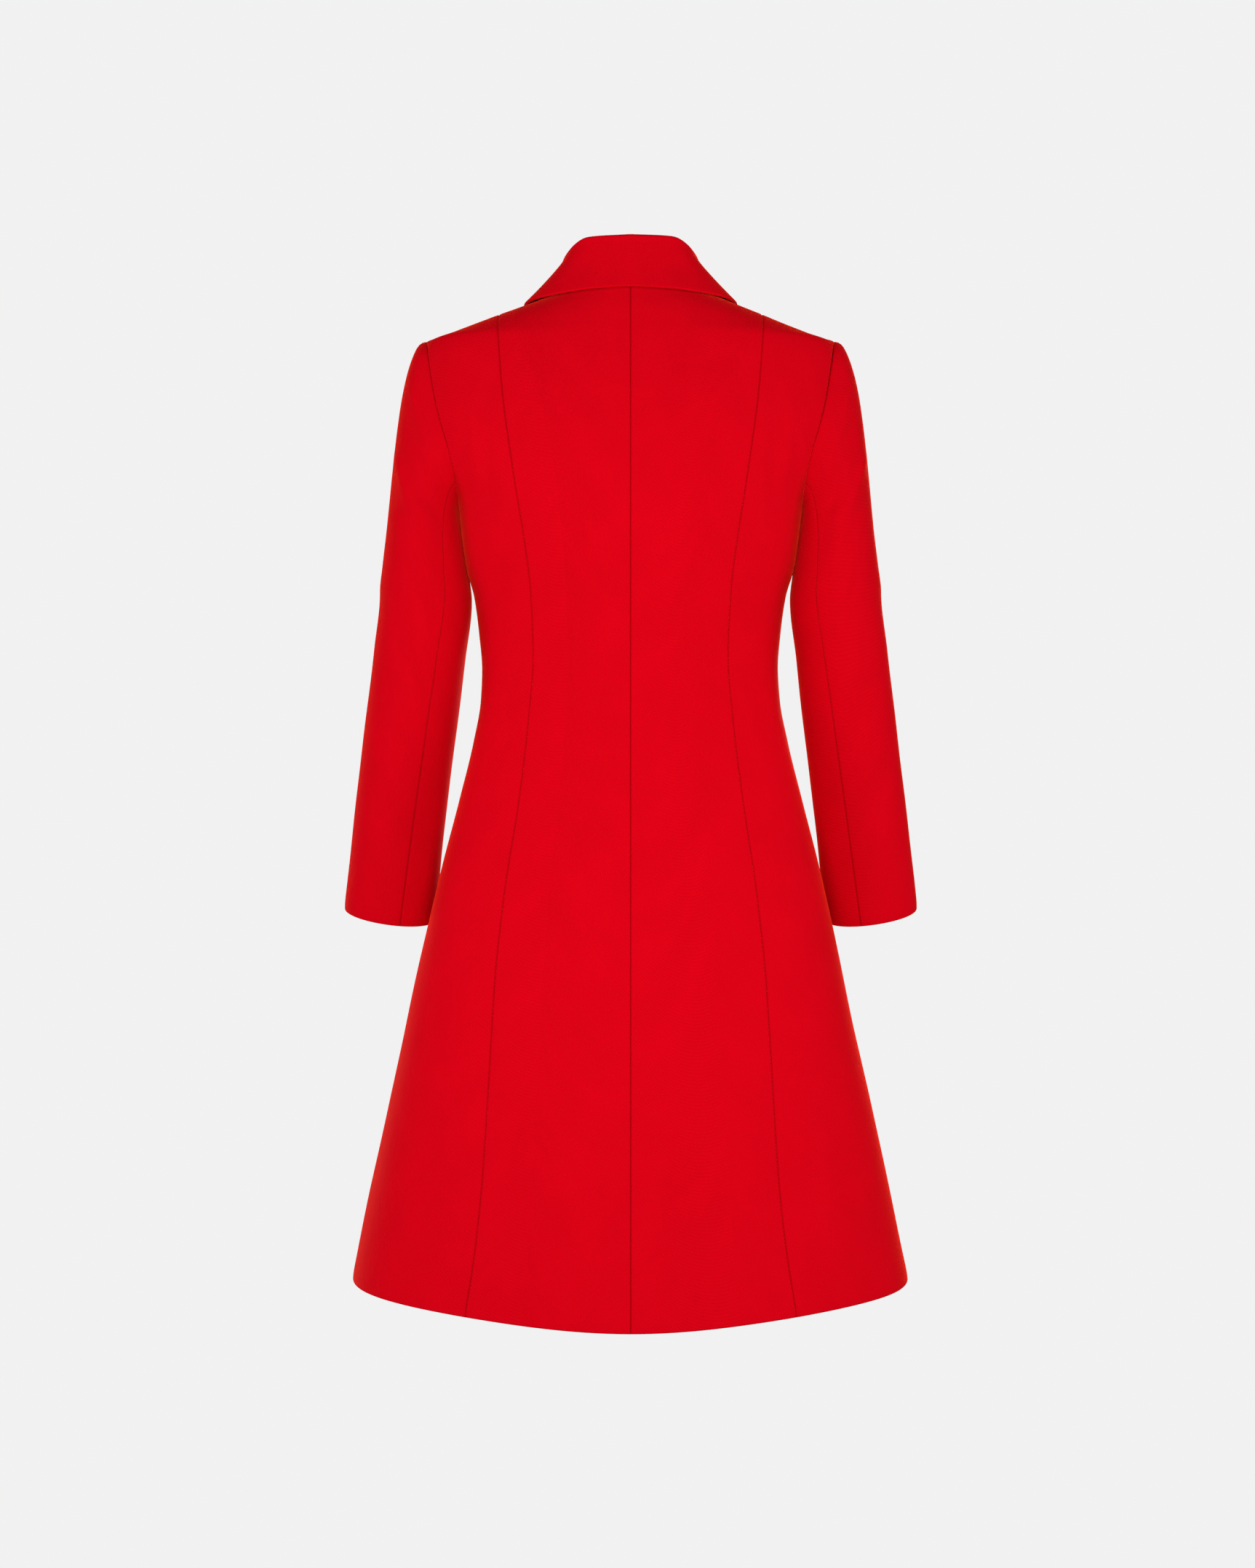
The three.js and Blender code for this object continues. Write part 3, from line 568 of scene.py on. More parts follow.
# %% Helpers for nodes
def feed(tree, node, values):
    """A value is the output of another node, which gets linked, or a plain number or colour."""
    for name, value in dict(values).items():
        if isinstance(value, bpy.types.NodeSocket):
            tree.links.new(value, node.inputs[name])
        else:
            node.inputs[name].default_value = value


def add_node(tree, kind, inputs=(), **settings):
    made = tree.nodes.new(kind)
    for name, value in settings.items():
        setattr(made, name, value)
    feed(tree, made, inputs)
    return made


def calc(tree, operation, first, second=0.0, third=0.0):
    values = {0: first, 1: second, 2: third}
    made = add_node(tree, "ShaderNodeMath", values, operation=operation)
    return made.outputs[0]


def rescale(tree, value, low, high, to_low=0.0, to_high=1.0):
    values = {"Value": value, "From Min": low, "From Max": high, "To Min": to_low, "To Max": to_high}
    return add_node(tree, "ShaderNodeMapRange", values).outputs["Result"]


def noise(tree, vector, scale, detail=2.0, rough=0.5):
    values = {"Vector": vector, "Scale": scale, "Detail": detail, "Roughness": rough}
    return add_node(tree, "ShaderNodeTexNoise", values).outputs["Fac"]


def blend(tree, factor, first, second):
    values = {0: factor, 6: first, 7: second}  # the mix node has other sockets for other kinds of data
    return add_node(tree, "ShaderNodeMix", values, data_type="RGBA").outputs[2]


def bump(tree, height, strength, distance):
    values = {"Height": height, "Strength": strength, "Distance": distance}
    return add_node(tree, "ShaderNodeBump", values).outputs["Normal"]


def new_group(name, inputs, outputs):
    tree = bpy.data.node_groups.new(name, "ShaderNodeTree")
    for label, kind in inputs.items():
        tree.interface.new_socket(label, in_out="INPUT", socket_type=kind)
    for label in outputs:
        tree.interface.new_socket(label, in_out="OUTPUT", socket_type="NodeSocketFloat")
    return tree, tree.nodes.new("NodeGroupInput"), tree.nodes.new("NodeGroupOutput")


# %% [markdown]
# The cloth is a twill: its yarns step over each other so that raised diagonal lines, the wales, cross
# the cloth at 45 degrees, here about 2.3 mm apart. The group turns the flat place on the cloth into a
# phase across the wales and a second one along them, which breaks each wale into short yarn floats.
# A wave texture could draw the lines, but not the floats, and it can't be kept in step with them.

# %% Twill weave group
WALE = 2.3 * MM
FLOAT = 1.5 * MM  # length of the stretch of yarn that shows on a wale
DIAGONAL = math.sqrt(0.5)  # the wales run at 45 degrees
WOBBLE = 0.28  # how far they stray, as a share of the distance between two of them
WOBBLE_SCALE = 140.0
STAGGER = 0.37  # the floats of each wale are shifted by this share of a float against the last one
FLOAT_DIP = 0.68  # how high the yarn stays between two floats

twill, given, result = new_group("twill weave", {"Cloth": "NodeSocketVector"}, ["Wale"])
flat = add_node(twill, "ShaderNodeSeparateXYZ", {0: given.outputs["Cloth"]})
stray = noise(twill, given.outputs["Cloth"], WOBBLE_SCALE)
wobble = rescale(twill, stray, 0.0, 1.0, -WOBBLE, WOBBLE)
sloping = calc(twill, "ADD", flat.outputs["X"], flat.outputs["Y"])
rising = calc(twill, "SUBTRACT", flat.outputs["X"], flat.outputs["Y"])
phase = calc(twill, "MULTIPLY_ADD", sloping, DIAGONAL / WALE, wobble)
crest = calc(twill, "COSINE", calc(twill, "MULTIPLY", phase, 2 * math.pi))
wale = rescale(twill, crest, -1.0, 1.0)
stagger = calc(twill, "MULTIPLY", calc(twill, "FLOOR", phase), STAGGER)
along = calc(twill, "MULTIPLY_ADD", rising, DIAGONAL / FLOAT, stagger)
pulse = calc(twill, "COSINE", calc(twill, "MULTIPLY", along, 2 * math.pi))
floats = rescale(twill, pulse, -1.0, 1.0, FLOAT_DIP, 1.0)
twill.links.new(calc(twill, "MULTIPLY", wale, floats), result.inputs["Wale"])
print("twill lines:", round(1 / (WALE * 100), 1), "to the centimetre")

# %% [markdown]
# Wool coating is brushed after weaving, so a short nap of loose fibres veils the weave. Seen close it is
# a fuzz a few tenths of a millimetre fine, drawn out down the cloth, with single lighter fibres in it.
# Dye is never quite even either, so a third group gives slow clouds of light and dark. The plastic
# buttons, the thread and the floor use it too, with other sizes.

# %% Nap and dye groups
NAP_STRETCH = (1.0, 0.4, 1.0)  # below 1 draws the fibres out in that direction
FUZZ_SCALE = 2400.0
FIBRE_SCALE = 1300.0
FLECK_WINDOW = (0.68, 0.78)  # only the highest places of the noise become single fibres
DYE_WINDOW = (0.25, 0.75)

nap, given, result = new_group("brushed nap", {"Cloth": "NodeSocketVector"}, ["Fuzz", "Fleck"])
drawn = add_node(
    nap,
    "ShaderNodeVectorMath",
    {0: given.outputs["Cloth"], 1: NAP_STRETCH},
    operation="MULTIPLY",
)
fuzz = noise(nap, drawn.outputs[0], FUZZ_SCALE, detail=3.0, rough=0.65)
fibres = noise(nap, drawn.outputs[0], FIBRE_SCALE, detail=1.0, rough=0.4)
nap.links.new(fuzz, result.inputs["Fuzz"])
nap.links.new(rescale(nap, fibres, *FLECK_WINDOW), result.inputs["Fleck"])

dye, given, result = new_group(
    "uneven dye",
    {"Place": "NodeSocketVector", "Scale": "NodeSocketFloat"},
    ["Cloud"],
)
clouds = noise(dye, given.outputs["Place"], given.outputs["Scale"], detail=3.0, rough=0.55)
dye.links.new(rescale(dye, clouds, *DYE_WINDOW), result.inputs["Cloud"])
print("shader groups:", [group.name for group in bpy.data.node_groups])

# %% [markdown]
# The wool material puts the groups together. The red is a little deeper between the wales and in the
# low places of the fuzz, and paler on their crests, which is painted shade and painted light that follow
# the bump. The loose fibres are paler, and the line of a seam is painted darker, because hardly any light
# reaches into it. Sheen stands for the nap that lights up where the cloth turns away from the eye, as
# along the sleeves in the photograph. It is set on the shader's own sockets, as it is alike all over.
# Wool hardly mirrors anything, and a higher specular level would lay a grey veil over the red.

# %% Wool material
DEEP_RED = (0.48, 0.0001, 0.0046, 1)
FACE_RED = (0.69, 0.0003, 0.0077, 1)
FIBRE_RED = (0.80, 0.010, 0.025, 1)
SEAM_RED = (0.24, 0.0003, 0.0016, 1)
DYE_RANGE = (0.4, 0.62)  # where the dye alone lies between the deep red, 0, and the red of the face, 1
WALE_SHADE_SHARE = 0.24  # how much the wales add to it as painted light and shade, and how much the fuzz adds
FUZZ_SHADE_SHARE = 0.24
FLECK_SHARE = 0.3  # how strongly the single fibres and the line of a seam show
SEAM_SHARE = 0.45
FUZZ_HEIGHT = 0.55  # against a wale's height of 1


def placed_group(tree, group, inputs):
    return add_node(tree, "ShaderNodeGroup", inputs, node_tree=group)


def new_material(name):
    material = bpy.data.materials.new(name)
    material.use_nodes = True
    tree = material.node_tree
    return material, tree, tree.nodes["Principled BSDF"]


wool, tree, shader = new_material("brushed wool twill")
cloth = add_node(tree, "ShaderNodeUVMap", uv_map="cloth").outputs["UV"]
weave = placed_group(tree, twill, {"Cloth": cloth})
fluff = placed_group(tree, nap, {"Cloth": cloth})
cloud = placed_group(tree, dye, {"Place": cloth, "Scale": 22.0})
lift = rescale(tree, cloud.outputs["Cloud"], 0.0, 1.0, *DYE_RANGE)
# painted light and shade: the crests of the wales and the fuzz are lighter, the low places between them
# darker
lift = calc(tree, "MULTIPLY_ADD", weave.outputs["Wale"], WALE_SHADE_SHARE, lift)
lift = calc(tree, "MULTIPLY_ADD", fluff.outputs["Fuzz"], FUZZ_SHADE_SHARE, lift)
colour = blend(tree, lift, DEEP_RED, FACE_RED)
colour = blend(tree, calc(tree, "MULTIPLY", fluff.outputs["Fleck"], FLECK_SHARE), colour, FIBRE_RED)
seam_mask = add_node(tree, "ShaderNodeAttribute", attribute_name="seam").outputs["Fac"]
colour = blend(tree, calc(tree, "MULTIPLY", seam_mask, SEAM_SHARE), colour, SEAM_RED)
height = calc(tree, "MULTIPLY_ADD", fluff.outputs["Fuzz"], FUZZ_HEIGHT, weave.outputs["Wale"])
finish = {
    "Base Color": colour,
    "Normal": bump(tree, height, strength=0.7, distance=0.16 * MM),
    "Roughness": 0.9,
    "Diffuse Roughness": 0.2,
    "Specular IOR Level": 0.015,
    "Sheen Weight": 0.9,
    "Sheen Roughness": 0.25,
    "Sheen Tint": (1.0, 0.045, 0.014, 1),
}
feed(tree, shader, finish)
print("wool nodes:", len(tree.nodes))

# %% [markdown]
# Each piece is a closed thin shell: the face of the cloth, its inside, and the rim between them. The
# face and the inside are the same grid, moved out and in along the normals. The flat lengths along the
# grid become the texture coordinates, so that the weave keeps its real size however the piece bends.
# A Solidify modifier would give one thickness everywhere, and here the edges are thicker.

# %% Turn two grids into a shell
def quads(a, b, c, d):
    return np.stack([a.ravel(), b.ravel(), c.ravel(), d.ravel()], 1)


def shell_faces(rows, columns):
    face, inside = np.arange(2 * rows * columns).reshape(2, rows, columns)
    rims = [
        np.concatenate([g[:-1, 0], g[-1, :-1], g[:0:-1, -1], g[0, :0:-1]]) for g in (face, inside)
    ]
    following = [np.roll(rim, -1) for rim in rims]
    return np.concatenate(
        [
            quads(face[:-1, :-1], face[1:, :-1], face[1:, 1:], face[:-1, 1:]),
            quads(inside[:-1, :-1], inside[:-1, 1:], inside[1:, 1:], inside[1:, :-1]),
            quads(following[0], rims[0], rims[1], following[1]),
        ]
    )


def volume(points, faces):
    a, b, c, d = (points[faces[:, k]] for k in range(4))
    return (np.cross(b, c) * a + np.cross(c, d) * a).sum() / 6


def add_object(name, points, faces, material=None):
    mesh = bpy.data.meshes.new(name)
    mesh.from_pydata((points * MM).tolist(), [], faces)
    mesh.polygons.foreach_set("use_smooth", [True] * len(mesh.polygons))
    if material:
        mesh.materials.append(material)
    return new_object(name, mesh)


def add_flat_places(made, places):
    """Each corner of the mesh gets its place on the flat cloth or along the thread."""
    layer = made.data.uv_layers.new(name="cloth")
    corners = np.empty(len(made.data.loops), int)
    made.data.loops.foreach_get("vertex_index", corners)
    layer.data.foreach_set("uv", (np.array(places) * MM)[corners].ravel())


def shell_object(name, outer, inner, flat_place, seam):
    rows, columns = outer.shape[:2]
    points = np.concatenate([outer.reshape(-1, 3), inner.reshape(-1, 3)])
    faces = shell_faces(rows, columns)
    if volume(points, faces) < 0:
        faces = faces[:, ::-1]
    made = add_object(name, points, faces.tolist(), wool)
    add_flat_places(made, np.tile(flat_place.reshape(-1, 2), (2, 1)))
    mask = made.data.attributes.new("seam", "FLOAT", "POINT")
    mask.data.foreach_set("value", np.concatenate([seam.ravel(), seam.ravel()]))
    return made


# %% [markdown]
# Now the parts come together in one function that makes a finished piece. That size is measured on
# the piece itself, because pressed coating isn't stretched when it is sewn.

# %% Make one piece of cloth
def area_of(points):
    a = points[1:, 1:] - points[:-1, :-1]
    b = points[1:, :-1] - points[:-1, 1:]
    return np.linalg.norm(np.cross(a, b), axis=-1).sum() / 2


def make_cloth(node, surface, edges, part, side=1, grain=1, **ways):
    """side -1 mirrors the piece to the wearer's right, and grain -1 counts its width the other way."""
    place, point, normal = surface
    t_end = ways.get("t_end", 2)
    hem = NEAR_HEM if "hem" in edges.values() else NEAR_SEAM
    u, t = lay_out(lambda u, t: point(*place(u, t)), t_end, hem, ways.get("corner"))
    at = place(u, t)
    base, out = point(*at), normal(*at)
    base[..., 0] *= side
    out[..., 0] *= side
    across, down = running_length(base, 1), running_length(base, 0)
    gaps = {"start": across, "end": across[:, -1:] - across, "top": down, "bottom": down[-1:] - down}
    face, back, seam = edge_work(gaps, edges)
    relief = creases(base, out, part) + pressed_together(base, out, part)
    relief = relief + padded_shoulder(base, part) + faint_unevenness(base)
    if "rise" in ways:
        relief = relief + ways["rise"](base)
    outer = base + out * (relief + face)[..., None]
    inner = base + out * (relief + back)[..., None]
    middle = across - across[:, -1:] / 2
    width_place = -np.abs(middle) if ways.get("mirrored_grain") else grain * middle
    made = shell_object(f"{node}_cloth", outer, inner, np.stack([width_place, -down], -1), seam)
    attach(made, "root")
    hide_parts(node)
    area = area_of(base) * MM * MM
    return made


# %% [markdown]
# The body has eight panels. Back and side panels come in mirrored pairs. The fronts share one grid, but
# the right front lies over the left one, as on every coat cut for women, so it is lifted near the
# buttons. Its rise fades out before the princess seam.

# %% Body panels
BACK_NECK_SHARE = 4 / 6  # how much of a back panel's top edge is neckline
FRONT_NECK_SHARE = 5 / 7
OVERLAP_RISE = 3.3
OVERLAP_BLEND = 45
SEWN = {"start": "seam", "end": "seam", "top": "seam", "bottom": "hem"}
FRONT_EDGES = dict(SEWN, start="turned")
SIDES = {"left": 1, "right": -1}


def body_surface(inner, outer, top):
    return panel(inner, outer, top), body_point, body_normal


def overlap(points):
    past_centre = np.where(points[..., 1] < 0, -points[..., 0], 0)
    reach = (OVERLAP_BLEND - past_centre) / OVERLAP_BLEND
    return OVERLAP_RISE * smooth(reach + BUTTON_EXTENSION / OVERLAP_BLEND)


back_top = neck_and_shoulder(0, BACK_NECK_SHARE)
front_top = neck_and_shoulder(float(front_edge_line(np.zeros(1))[0][0]), FRONT_NECK_SHARE)
back_surface = body_surface(centre_back_line, princess_line("back"), back_top)
front_surface = body_surface(front_edge_line, princess_line("front"), front_top)
cloth_pieces = {}
for name, side in SIDES.items():
    node = f"back_{name}"
    cloth_pieces[node] = make_cloth(
        node, back_surface, SEWN, "body", side, -side, corner=BACK_NECK_SHARE
    )
    for facing, turn in (("back", -1), ("front", 1)):
        node = f"side_{facing}_{name}"
        surface = body_surface(princess_line(facing), side_line(facing), shoulder_only)
        cloth_pieces[node] = make_cloth(node, surface, SEWN, "body", side, turn * side)
    node = f"front_{name}"
    ways = {"rise": overlap} if name == "right" else {}
    cloth_pieces[node] = make_cloth(
        node, front_surface, FRONT_EDGES, "body", side, side, corner=FRONT_NECK_SHARE, **ways
    )

# %% [markdown]
# A coat sleeve is cut in two pieces, a wide top sleeve and a narrow under sleeve, which lets it bend
# forward at the elbow. Below the head it is a row of tilted ovals. The head itself leaves the armhole
# outwards, where a roll of wadding lifts it, and then turns down. A curve with a set direction at both
# ends, a Hermite curve, gives that turn for each angle round the sleeve.

# %% The sleeve's form
SLEEVE = [  # height, centre x, centre y, half width, half depth, rise to the outside, drop to the back
    (-240, 203.4, -3, 38, 57, 0.05, 0),
    (-270, 203.4, -3.5, 41.9, 56.8, 0.065, 0.005),
    (-296, 203.1, -4, 45, 56.5, 0.08, 0.01),
    (-354, 210.1, -8, 44.9, 54, 0.1, 0.04),
    (-411, 217.6, -15, 45.2, 51, 0.12, 0.08),
    (-469, 225.4, -27, 45.6, 48, 0.13, 0.12),
    (-541, 235.2, -45, 45.8, 44.5, 0.14, 0.16),
    (-615.2, 245, -64, 46.4, 41, 0.146, 0.196),
]
SLEEVE_TOP_Z = SLEEVE[0][0]
CUFF_Z = SLEEVE[-1][0]
HEAD = [  # angle (0 outside, 90 back, 180 inside, 270 front), how far out and down it leaves
    (0, 88, -33),
    (90, 62, 24),
    (150, 18, 26),
    (180, 6, 22),
    (210, 18, 26),
    (270, 62, 24),
    (360, 88, -33),
]
HEAD_END = 150  # how far the head's curve is drawn down at its end, in millimetres at most
HEAD_END_SHARE = 0.85  # and as a share of the head's own length
BACK_SEAM = (138, 108)  # angles of the sleeve's seams at the armhole and at the cuff
FRONT_SEAM = (232, 236)
CUFF_T = 2  # a sleeve's t runs from 0 at the armhole by 1 under the head to 2 at the cuff

sleeve_x, sleeve_y, sleeve_width, sleeve_depth, rise_out, drop_back = curves(SLEEVE)
head_out, head_drop = curves(HEAD)
armhole_line = {side: side_line(side) for side in ("back", "front")}


def armhole_point(angle):
    t = np.where(angle <= 180, angle, 360 - angle) / 180
    back, front = (body_point(*armhole_line[side](t)) for side in ("back", "front"))
    return np.where((angle <= 180)[..., None], back, front)


def sleeve_section(angle, z):
    out = sleeve_width(z) * np.cos(np.radians(angle))
    back = sleeve_depth(z) * np.sin(np.radians(angle))
    height = z + rise_out(z) * out - drop_back(z) * back
    return np.stack([sleeve_x(z) + out, sleeve_y(z) + back, height], -1)


def sleeve_point(angle, t):
    turn = np.mod(angle, 360)
    s = np.clip(t, 0, 1)[..., None]
    start = armhole_point(turn)
    end = sleeve_section(turn, SLEEVE_TOP_Z + 0 * turn)
    leave = np.stack([head_out(turn), 0 * turn, -head_drop(turn)], -1)
    run = np.minimum(HEAD_END, HEAD_END_SHARE * np.linalg.norm(end - start, axis=-1))
    arrive = (sleeve_section(turn, SLEEVE_TOP_Z - 1 + 0 * turn) - end) * run[..., None]
    head = start * (2 * s**3 - 3 * s**2 + 1) + end * (3 * s**2 - 2 * s**3)
    head += leave * (s**3 - 2 * s**2 + s) + arrive * (s**3 - s**2)
    below = sleeve_section(turn, mix(SLEEVE_TOP_Z, CUFF_Z, np.maximum(t - 1, 0)))
    return np.where((t < 1)[..., None], head, below)


def slope_of(point, angle, v, turn, step, end):
    """The normal of a surface, from neighbours some degrees round it and some share along it."""
    around = point(angle + turn, v) - point(angle - turn, v)
    down = point(angle, np.minimum(v + step, end)) - point(angle, np.maximum(v - step, 0))
    return unit(np.cross(around, down))


def sleeve_normal(angle, t):
    return -slope_of(sleeve_point, angle, t, turn=1, step=0.02, end=CUFF_T)


def sleeve_surface(start, end, turn):
    def place(u, t):
        u, t = np.broadcast_arrays(u, t)
        first = mix(start[0], start[1], t / CUFF_T)
        last = turn + mix(end[0], end[1], t / CUFF_T)
        return mix(first, last, u), t

    return place, sleeve_point, sleeve_normal


# %% [markdown]
# The top sleeve is the stretch of that tube between the two sleeve seams on the outside, and the under
# sleeve the one on the inside. Both are made like the panels, and both rest on the side panels.

# %% Sleeves
for name, side in SIDES.items():
    hung_from = [f"side_{facing}_{name}_cloth" for facing in ("back", "front")]
    for piece, start, end, turn in (
        ("top_sleeve", FRONT_SEAM, BACK_SEAM, 360),
        ("under_sleeve", BACK_SEAM, FRONT_SEAM, 0),
    ):
        node = f"{piece}_{name}"
        surface = sleeve_surface(start, end, turn)
        cloth_pieces[node] = make_cloth(node, surface, SEWN, "sleeve", side, side, on=hung_from)

# %% [markdown]
# The collar has two pieces: a stand that rises from the neckline, and a fall that is sewn to its top,
# rolls over and lies down on the shoulders. Both are swept round the neck. The table gives the crest of
# the roll and where the outer edge lies on the body, and how far the fall draws in between them.
# For each angle round the neck, a helper gives the crest, the outer edge, the direction outwards and
# the neckline. Both pieces are built on these.

# %% The collar's form
COLLAR_FOLD = [  # angle (0 centre back, 180 centre front), and the place of the crest
    (0, 0, 66, 47.5),
    (35, 40, 52, 48.6),
    (60, 57, 31, 42.5),
    (90, 65.5, 0, 31),
    (120, 58, -33, 7),
    (150, 36, -61, -21),
    (178.6, 1.8, -77, -37),
]
COLLAR_EDGE = [  # angle, where the edge lies on the body (angle, height), how far off it, drawn in by
    (0, 0, -6.5, 4.5, 1),
    (35, 34, -8, 4.2, 2),
    (60, 61, -10, 3.6, 1.2),
    (90, 90, -11, 3.6, 0.4),
    (120, 122, -33, 4.8, -0.5),
    (150, 145, -78, 6.8, -3.5),
    (178.6, 159.5, -118, 7.8, -2.5),
]
COLLAR_END = COLLAR_FOLD[-1][0]
ROLL_RADIUS = 3.4
STAND_DROP = 7  # the fall is sewn to the stand this far below the roll
STAND_INSET = 1  # the stand's top is this far inside the crest
STAND_TUCK = 2.8  # its lower edge reaches this far down inside the neckline, so that no slit opens

fold_x, fold_y, fold_z = curves(COLLAR_FOLD)
edge_angle, edge_z, edge_off, drawn_in = curves(COLLAR_EDGE)


def one_sided(angle, points):
    return points * np.stack([np.sign(angle) + (angle == 0), 1 + 0 * angle, 1 + 0 * angle], -1)


def collar_lines(angle):
    a = np.abs(angle)
    crest = np.stack([fold_x(a), fold_y(a), fold_z(a)], -1)
    rim = body_point(edge_angle(a), edge_z(a))
    rim = rim + body_normal(edge_angle(a), edge_z(a)) * edge_off(a)[..., None]
    out = np.stack([np.sin(np.radians(a)), np.cos(np.radians(a)), 0 * a], -1)
    neck = body_point(a, neck_height(a))
    return [one_sided(angle, p) for p in (crest, rim, out, neck)]


print("collar at the centre back:", COLLAR_FOLD[0][-1], "mm above the neck points")

# %% [markdown]
# The stand is a straight strip from the neckline to just below the crest. The fall starts at its top,
# rolls over in a half circle and hangs from it on a curve that starts straight down. A straight line is
# blended in towards the edge, so that the collar lies flat there.

# %% Stand and fall
ROLL_START = 0.08  # shares of the fall's width where its roll begins and ends
ROLL_END = 0.25
FALL_START = 2.5  # how far the fall runs straight down before it slants out


def stand_point(angle, v):
    crest, _, out, neck = collar_lines(angle)
    top = crest - out * STAND_INSET
    top[..., 2] -= ROLL_RADIUS + STAND_DROP
    neck[..., 2] -= STAND_TUCK
    return mix(neck, top, v[..., None])


def fall_point(angle, v):
    crest, rim, out, _ = collar_lines(angle)
    turn = np.pi * (1 - np.clip((v - ROLL_START) / (ROLL_END - ROLL_START), 0, 1))
    roll = crest + out * (ROLL_RADIUS * np.cos(turn))[..., None]
    low = STAND_DROP * np.maximum(0, 1 - v / ROLL_START)
    roll[..., 2] += ROLL_RADIUS * np.sin(turn) - ROLL_RADIUS - low
    s = np.clip((v - ROLL_END) / (1 - ROLL_END), 0, 1)[..., None]
    start = crest + out * ROLL_RADIUS
    start[..., 2] -= ROLL_RADIUS
    pull = start.copy()
    pull[..., 2] -= FALL_START
    fall = start * (1 - s) ** 2 + pull * 2 * s * (1 - s) + rim * s**2
    fall = mix(fall, mix(start, rim, s), smooth(s * 2))
    fall -= out * drawn_in(np.abs(angle))[..., None] * np.sin(np.pi * s)
    return np.where((v < ROLL_END)[..., None], roll, fall)


def collar_surface(point):
    def place(u, v):
        u, v = np.broadcast_arrays(u, v)
        return mix(-COLLAR_END, COLLAR_END, u), v

    def normal(angle, v):
        return slope_of(point, angle, v, turn=0.6, step=0.006, end=1)

    return place, point, normal


print("the roll takes", round(100 * (ROLL_END - ROLL_START)), "percent of the fall's width")

# %% [markdown]
# The stand is stretched round the neck, and the fall is folded over it. Their grain is mirrored at the
# centre back, where the photograph shows the twill change its direction.

# %% Collar
COLLAR_ENDS = {"start": "turned", "end": "turned", "top": "seam"}
lies_on = [f"{node}_cloth" for node in ("back_left", "back_right", "front_left", "front_right")]
for node, point, bottom, held in (
    ("collar_stand", stand_point, "seam", "stretched"),
    ("collar_fall", fall_point, "turned", "folded"),
):
    edges = dict(COLLAR_ENDS, bottom=bottom)
    cloth_pieces[node] = make_cloth(
        node,
        collar_surface(point),
        edges,
        "collar",
        t_end=1,
        mirrored_grain=True,
        held=held,
        on=lies_on,
    )

# %% [markdown]
# The buttons are flat four-hole buttons dyed to match the cloth. The photograph shows only the back, so
# their kind is a guess at what such a coat has. A turned outline gives the rounded rim and the sunk
# middle. A Screw modifier could turn the outline too, but the rings are as quick to write, and they are
# clean for the Boolean that follows.

# %% Button form
BUTTON_RADIUS = 14
UNDERSIDE = (11.4, 0)  # radius and height of the flat underside
RIM = 2.1  # radius of the rounded rim
RIM_RINGS = 11
DISH = [(11.1, 4.12), (10.3, 3.75), (9.6, 3.3), (8.8, 3.1), (6, 3), (3.8, 3)]  # radius, height
BUTTON_SIDES = 64


def ring(radius, height, sides):
    turn = np.linspace(0, 2 * np.pi, sides, endpoint=False)
    return np.stack([radius * np.cos(turn), radius * np.sin(turn), height + 0 * turn], 1)


def ring_faces(count, sides, first=0):
    ids = first + np.arange(count * sides).reshape(count, sides)
    near, far = ids[:-1], ids[1:]
    walls = quads(near, np.roll(near, -1, 1), np.roll(far, -1, 1), far).tolist()
    return [*walls, ids[0, ::-1].tolist(), ids[-1].tolist()]


rim_turn = np.radians(np.linspace(-90, 90, RIM_RINGS))
profile = [UNDERSIDE]
profile += [(BUTTON_RADIUS - RIM + RIM * math.cos(a), RIM + RIM * math.sin(a)) for a in rim_turn]
profile += DISH
disc_points = np.concatenate([ring(r, h, BUTTON_SIDES) for r, h in profile])
disc = add_object("button blank", disc_points, ring_faces(len(profile), BUTTON_SIDES))
print("rings in a button's outline:", len(profile))

# %% [markdown]
# Four thin posts stand where the holes go, and an exact Boolean takes them out of the disc, as a drill
# would. The rim stays smooth to the eye, and sharp edges, such as those of the holes, are marked so.

# %% Drill the holes
HOLE_PLACE = 2.4  # each hole is this far from the middle, across and up
HOLE_RADIUS = 1.1
HOLE_SIDES = 20
DRILL_HEIGHTS = (-1, 6)  # from below the disc to above it
SHARP_ANGLE = 0.6  # radians

hole_points, hole_faces = [], []
for across in (-HOLE_PLACE, HOLE_PLACE):
    for up in (-HOLE_PLACE, HOLE_PLACE):
        hole_faces += ring_faces(2, HOLE_SIDES, 2 * HOLE_SIDES * (len(hole_points) // 2))
        hole_points += [ring(HOLE_RADIUS, h, HOLE_SIDES) + (across, up, 0) for h in DRILL_HEIGHTS]
drill = add_object("drill", np.concatenate(hole_points), hole_faces)
cut = disc.modifiers.new("holes", "BOOLEAN")
cut.operation = "DIFFERENCE"
cut.solver = "EXACT"
cut.object = drill
drilled = bpy.data.meshes.new_from_object(disc.evaluated_get(bpy.context.evaluated_depsgraph_get()))
for helper in (disc, drill):
    bpy.data.objects.remove(helper)
edit = bmesh.new()
edit.from_mesh(drilled)
for corner in edit.edges:
    corner.smooth = len(corner.link_faces) < 2 or corner.calc_face_angle() < SHARP_ANGLE
edit.to_mesh(drilled)
edit.free()
drilled.polygons.foreach_set("use_smooth", [True] * len(drilled.polygons))
print("one button has", len(drilled.polygons), "faces")
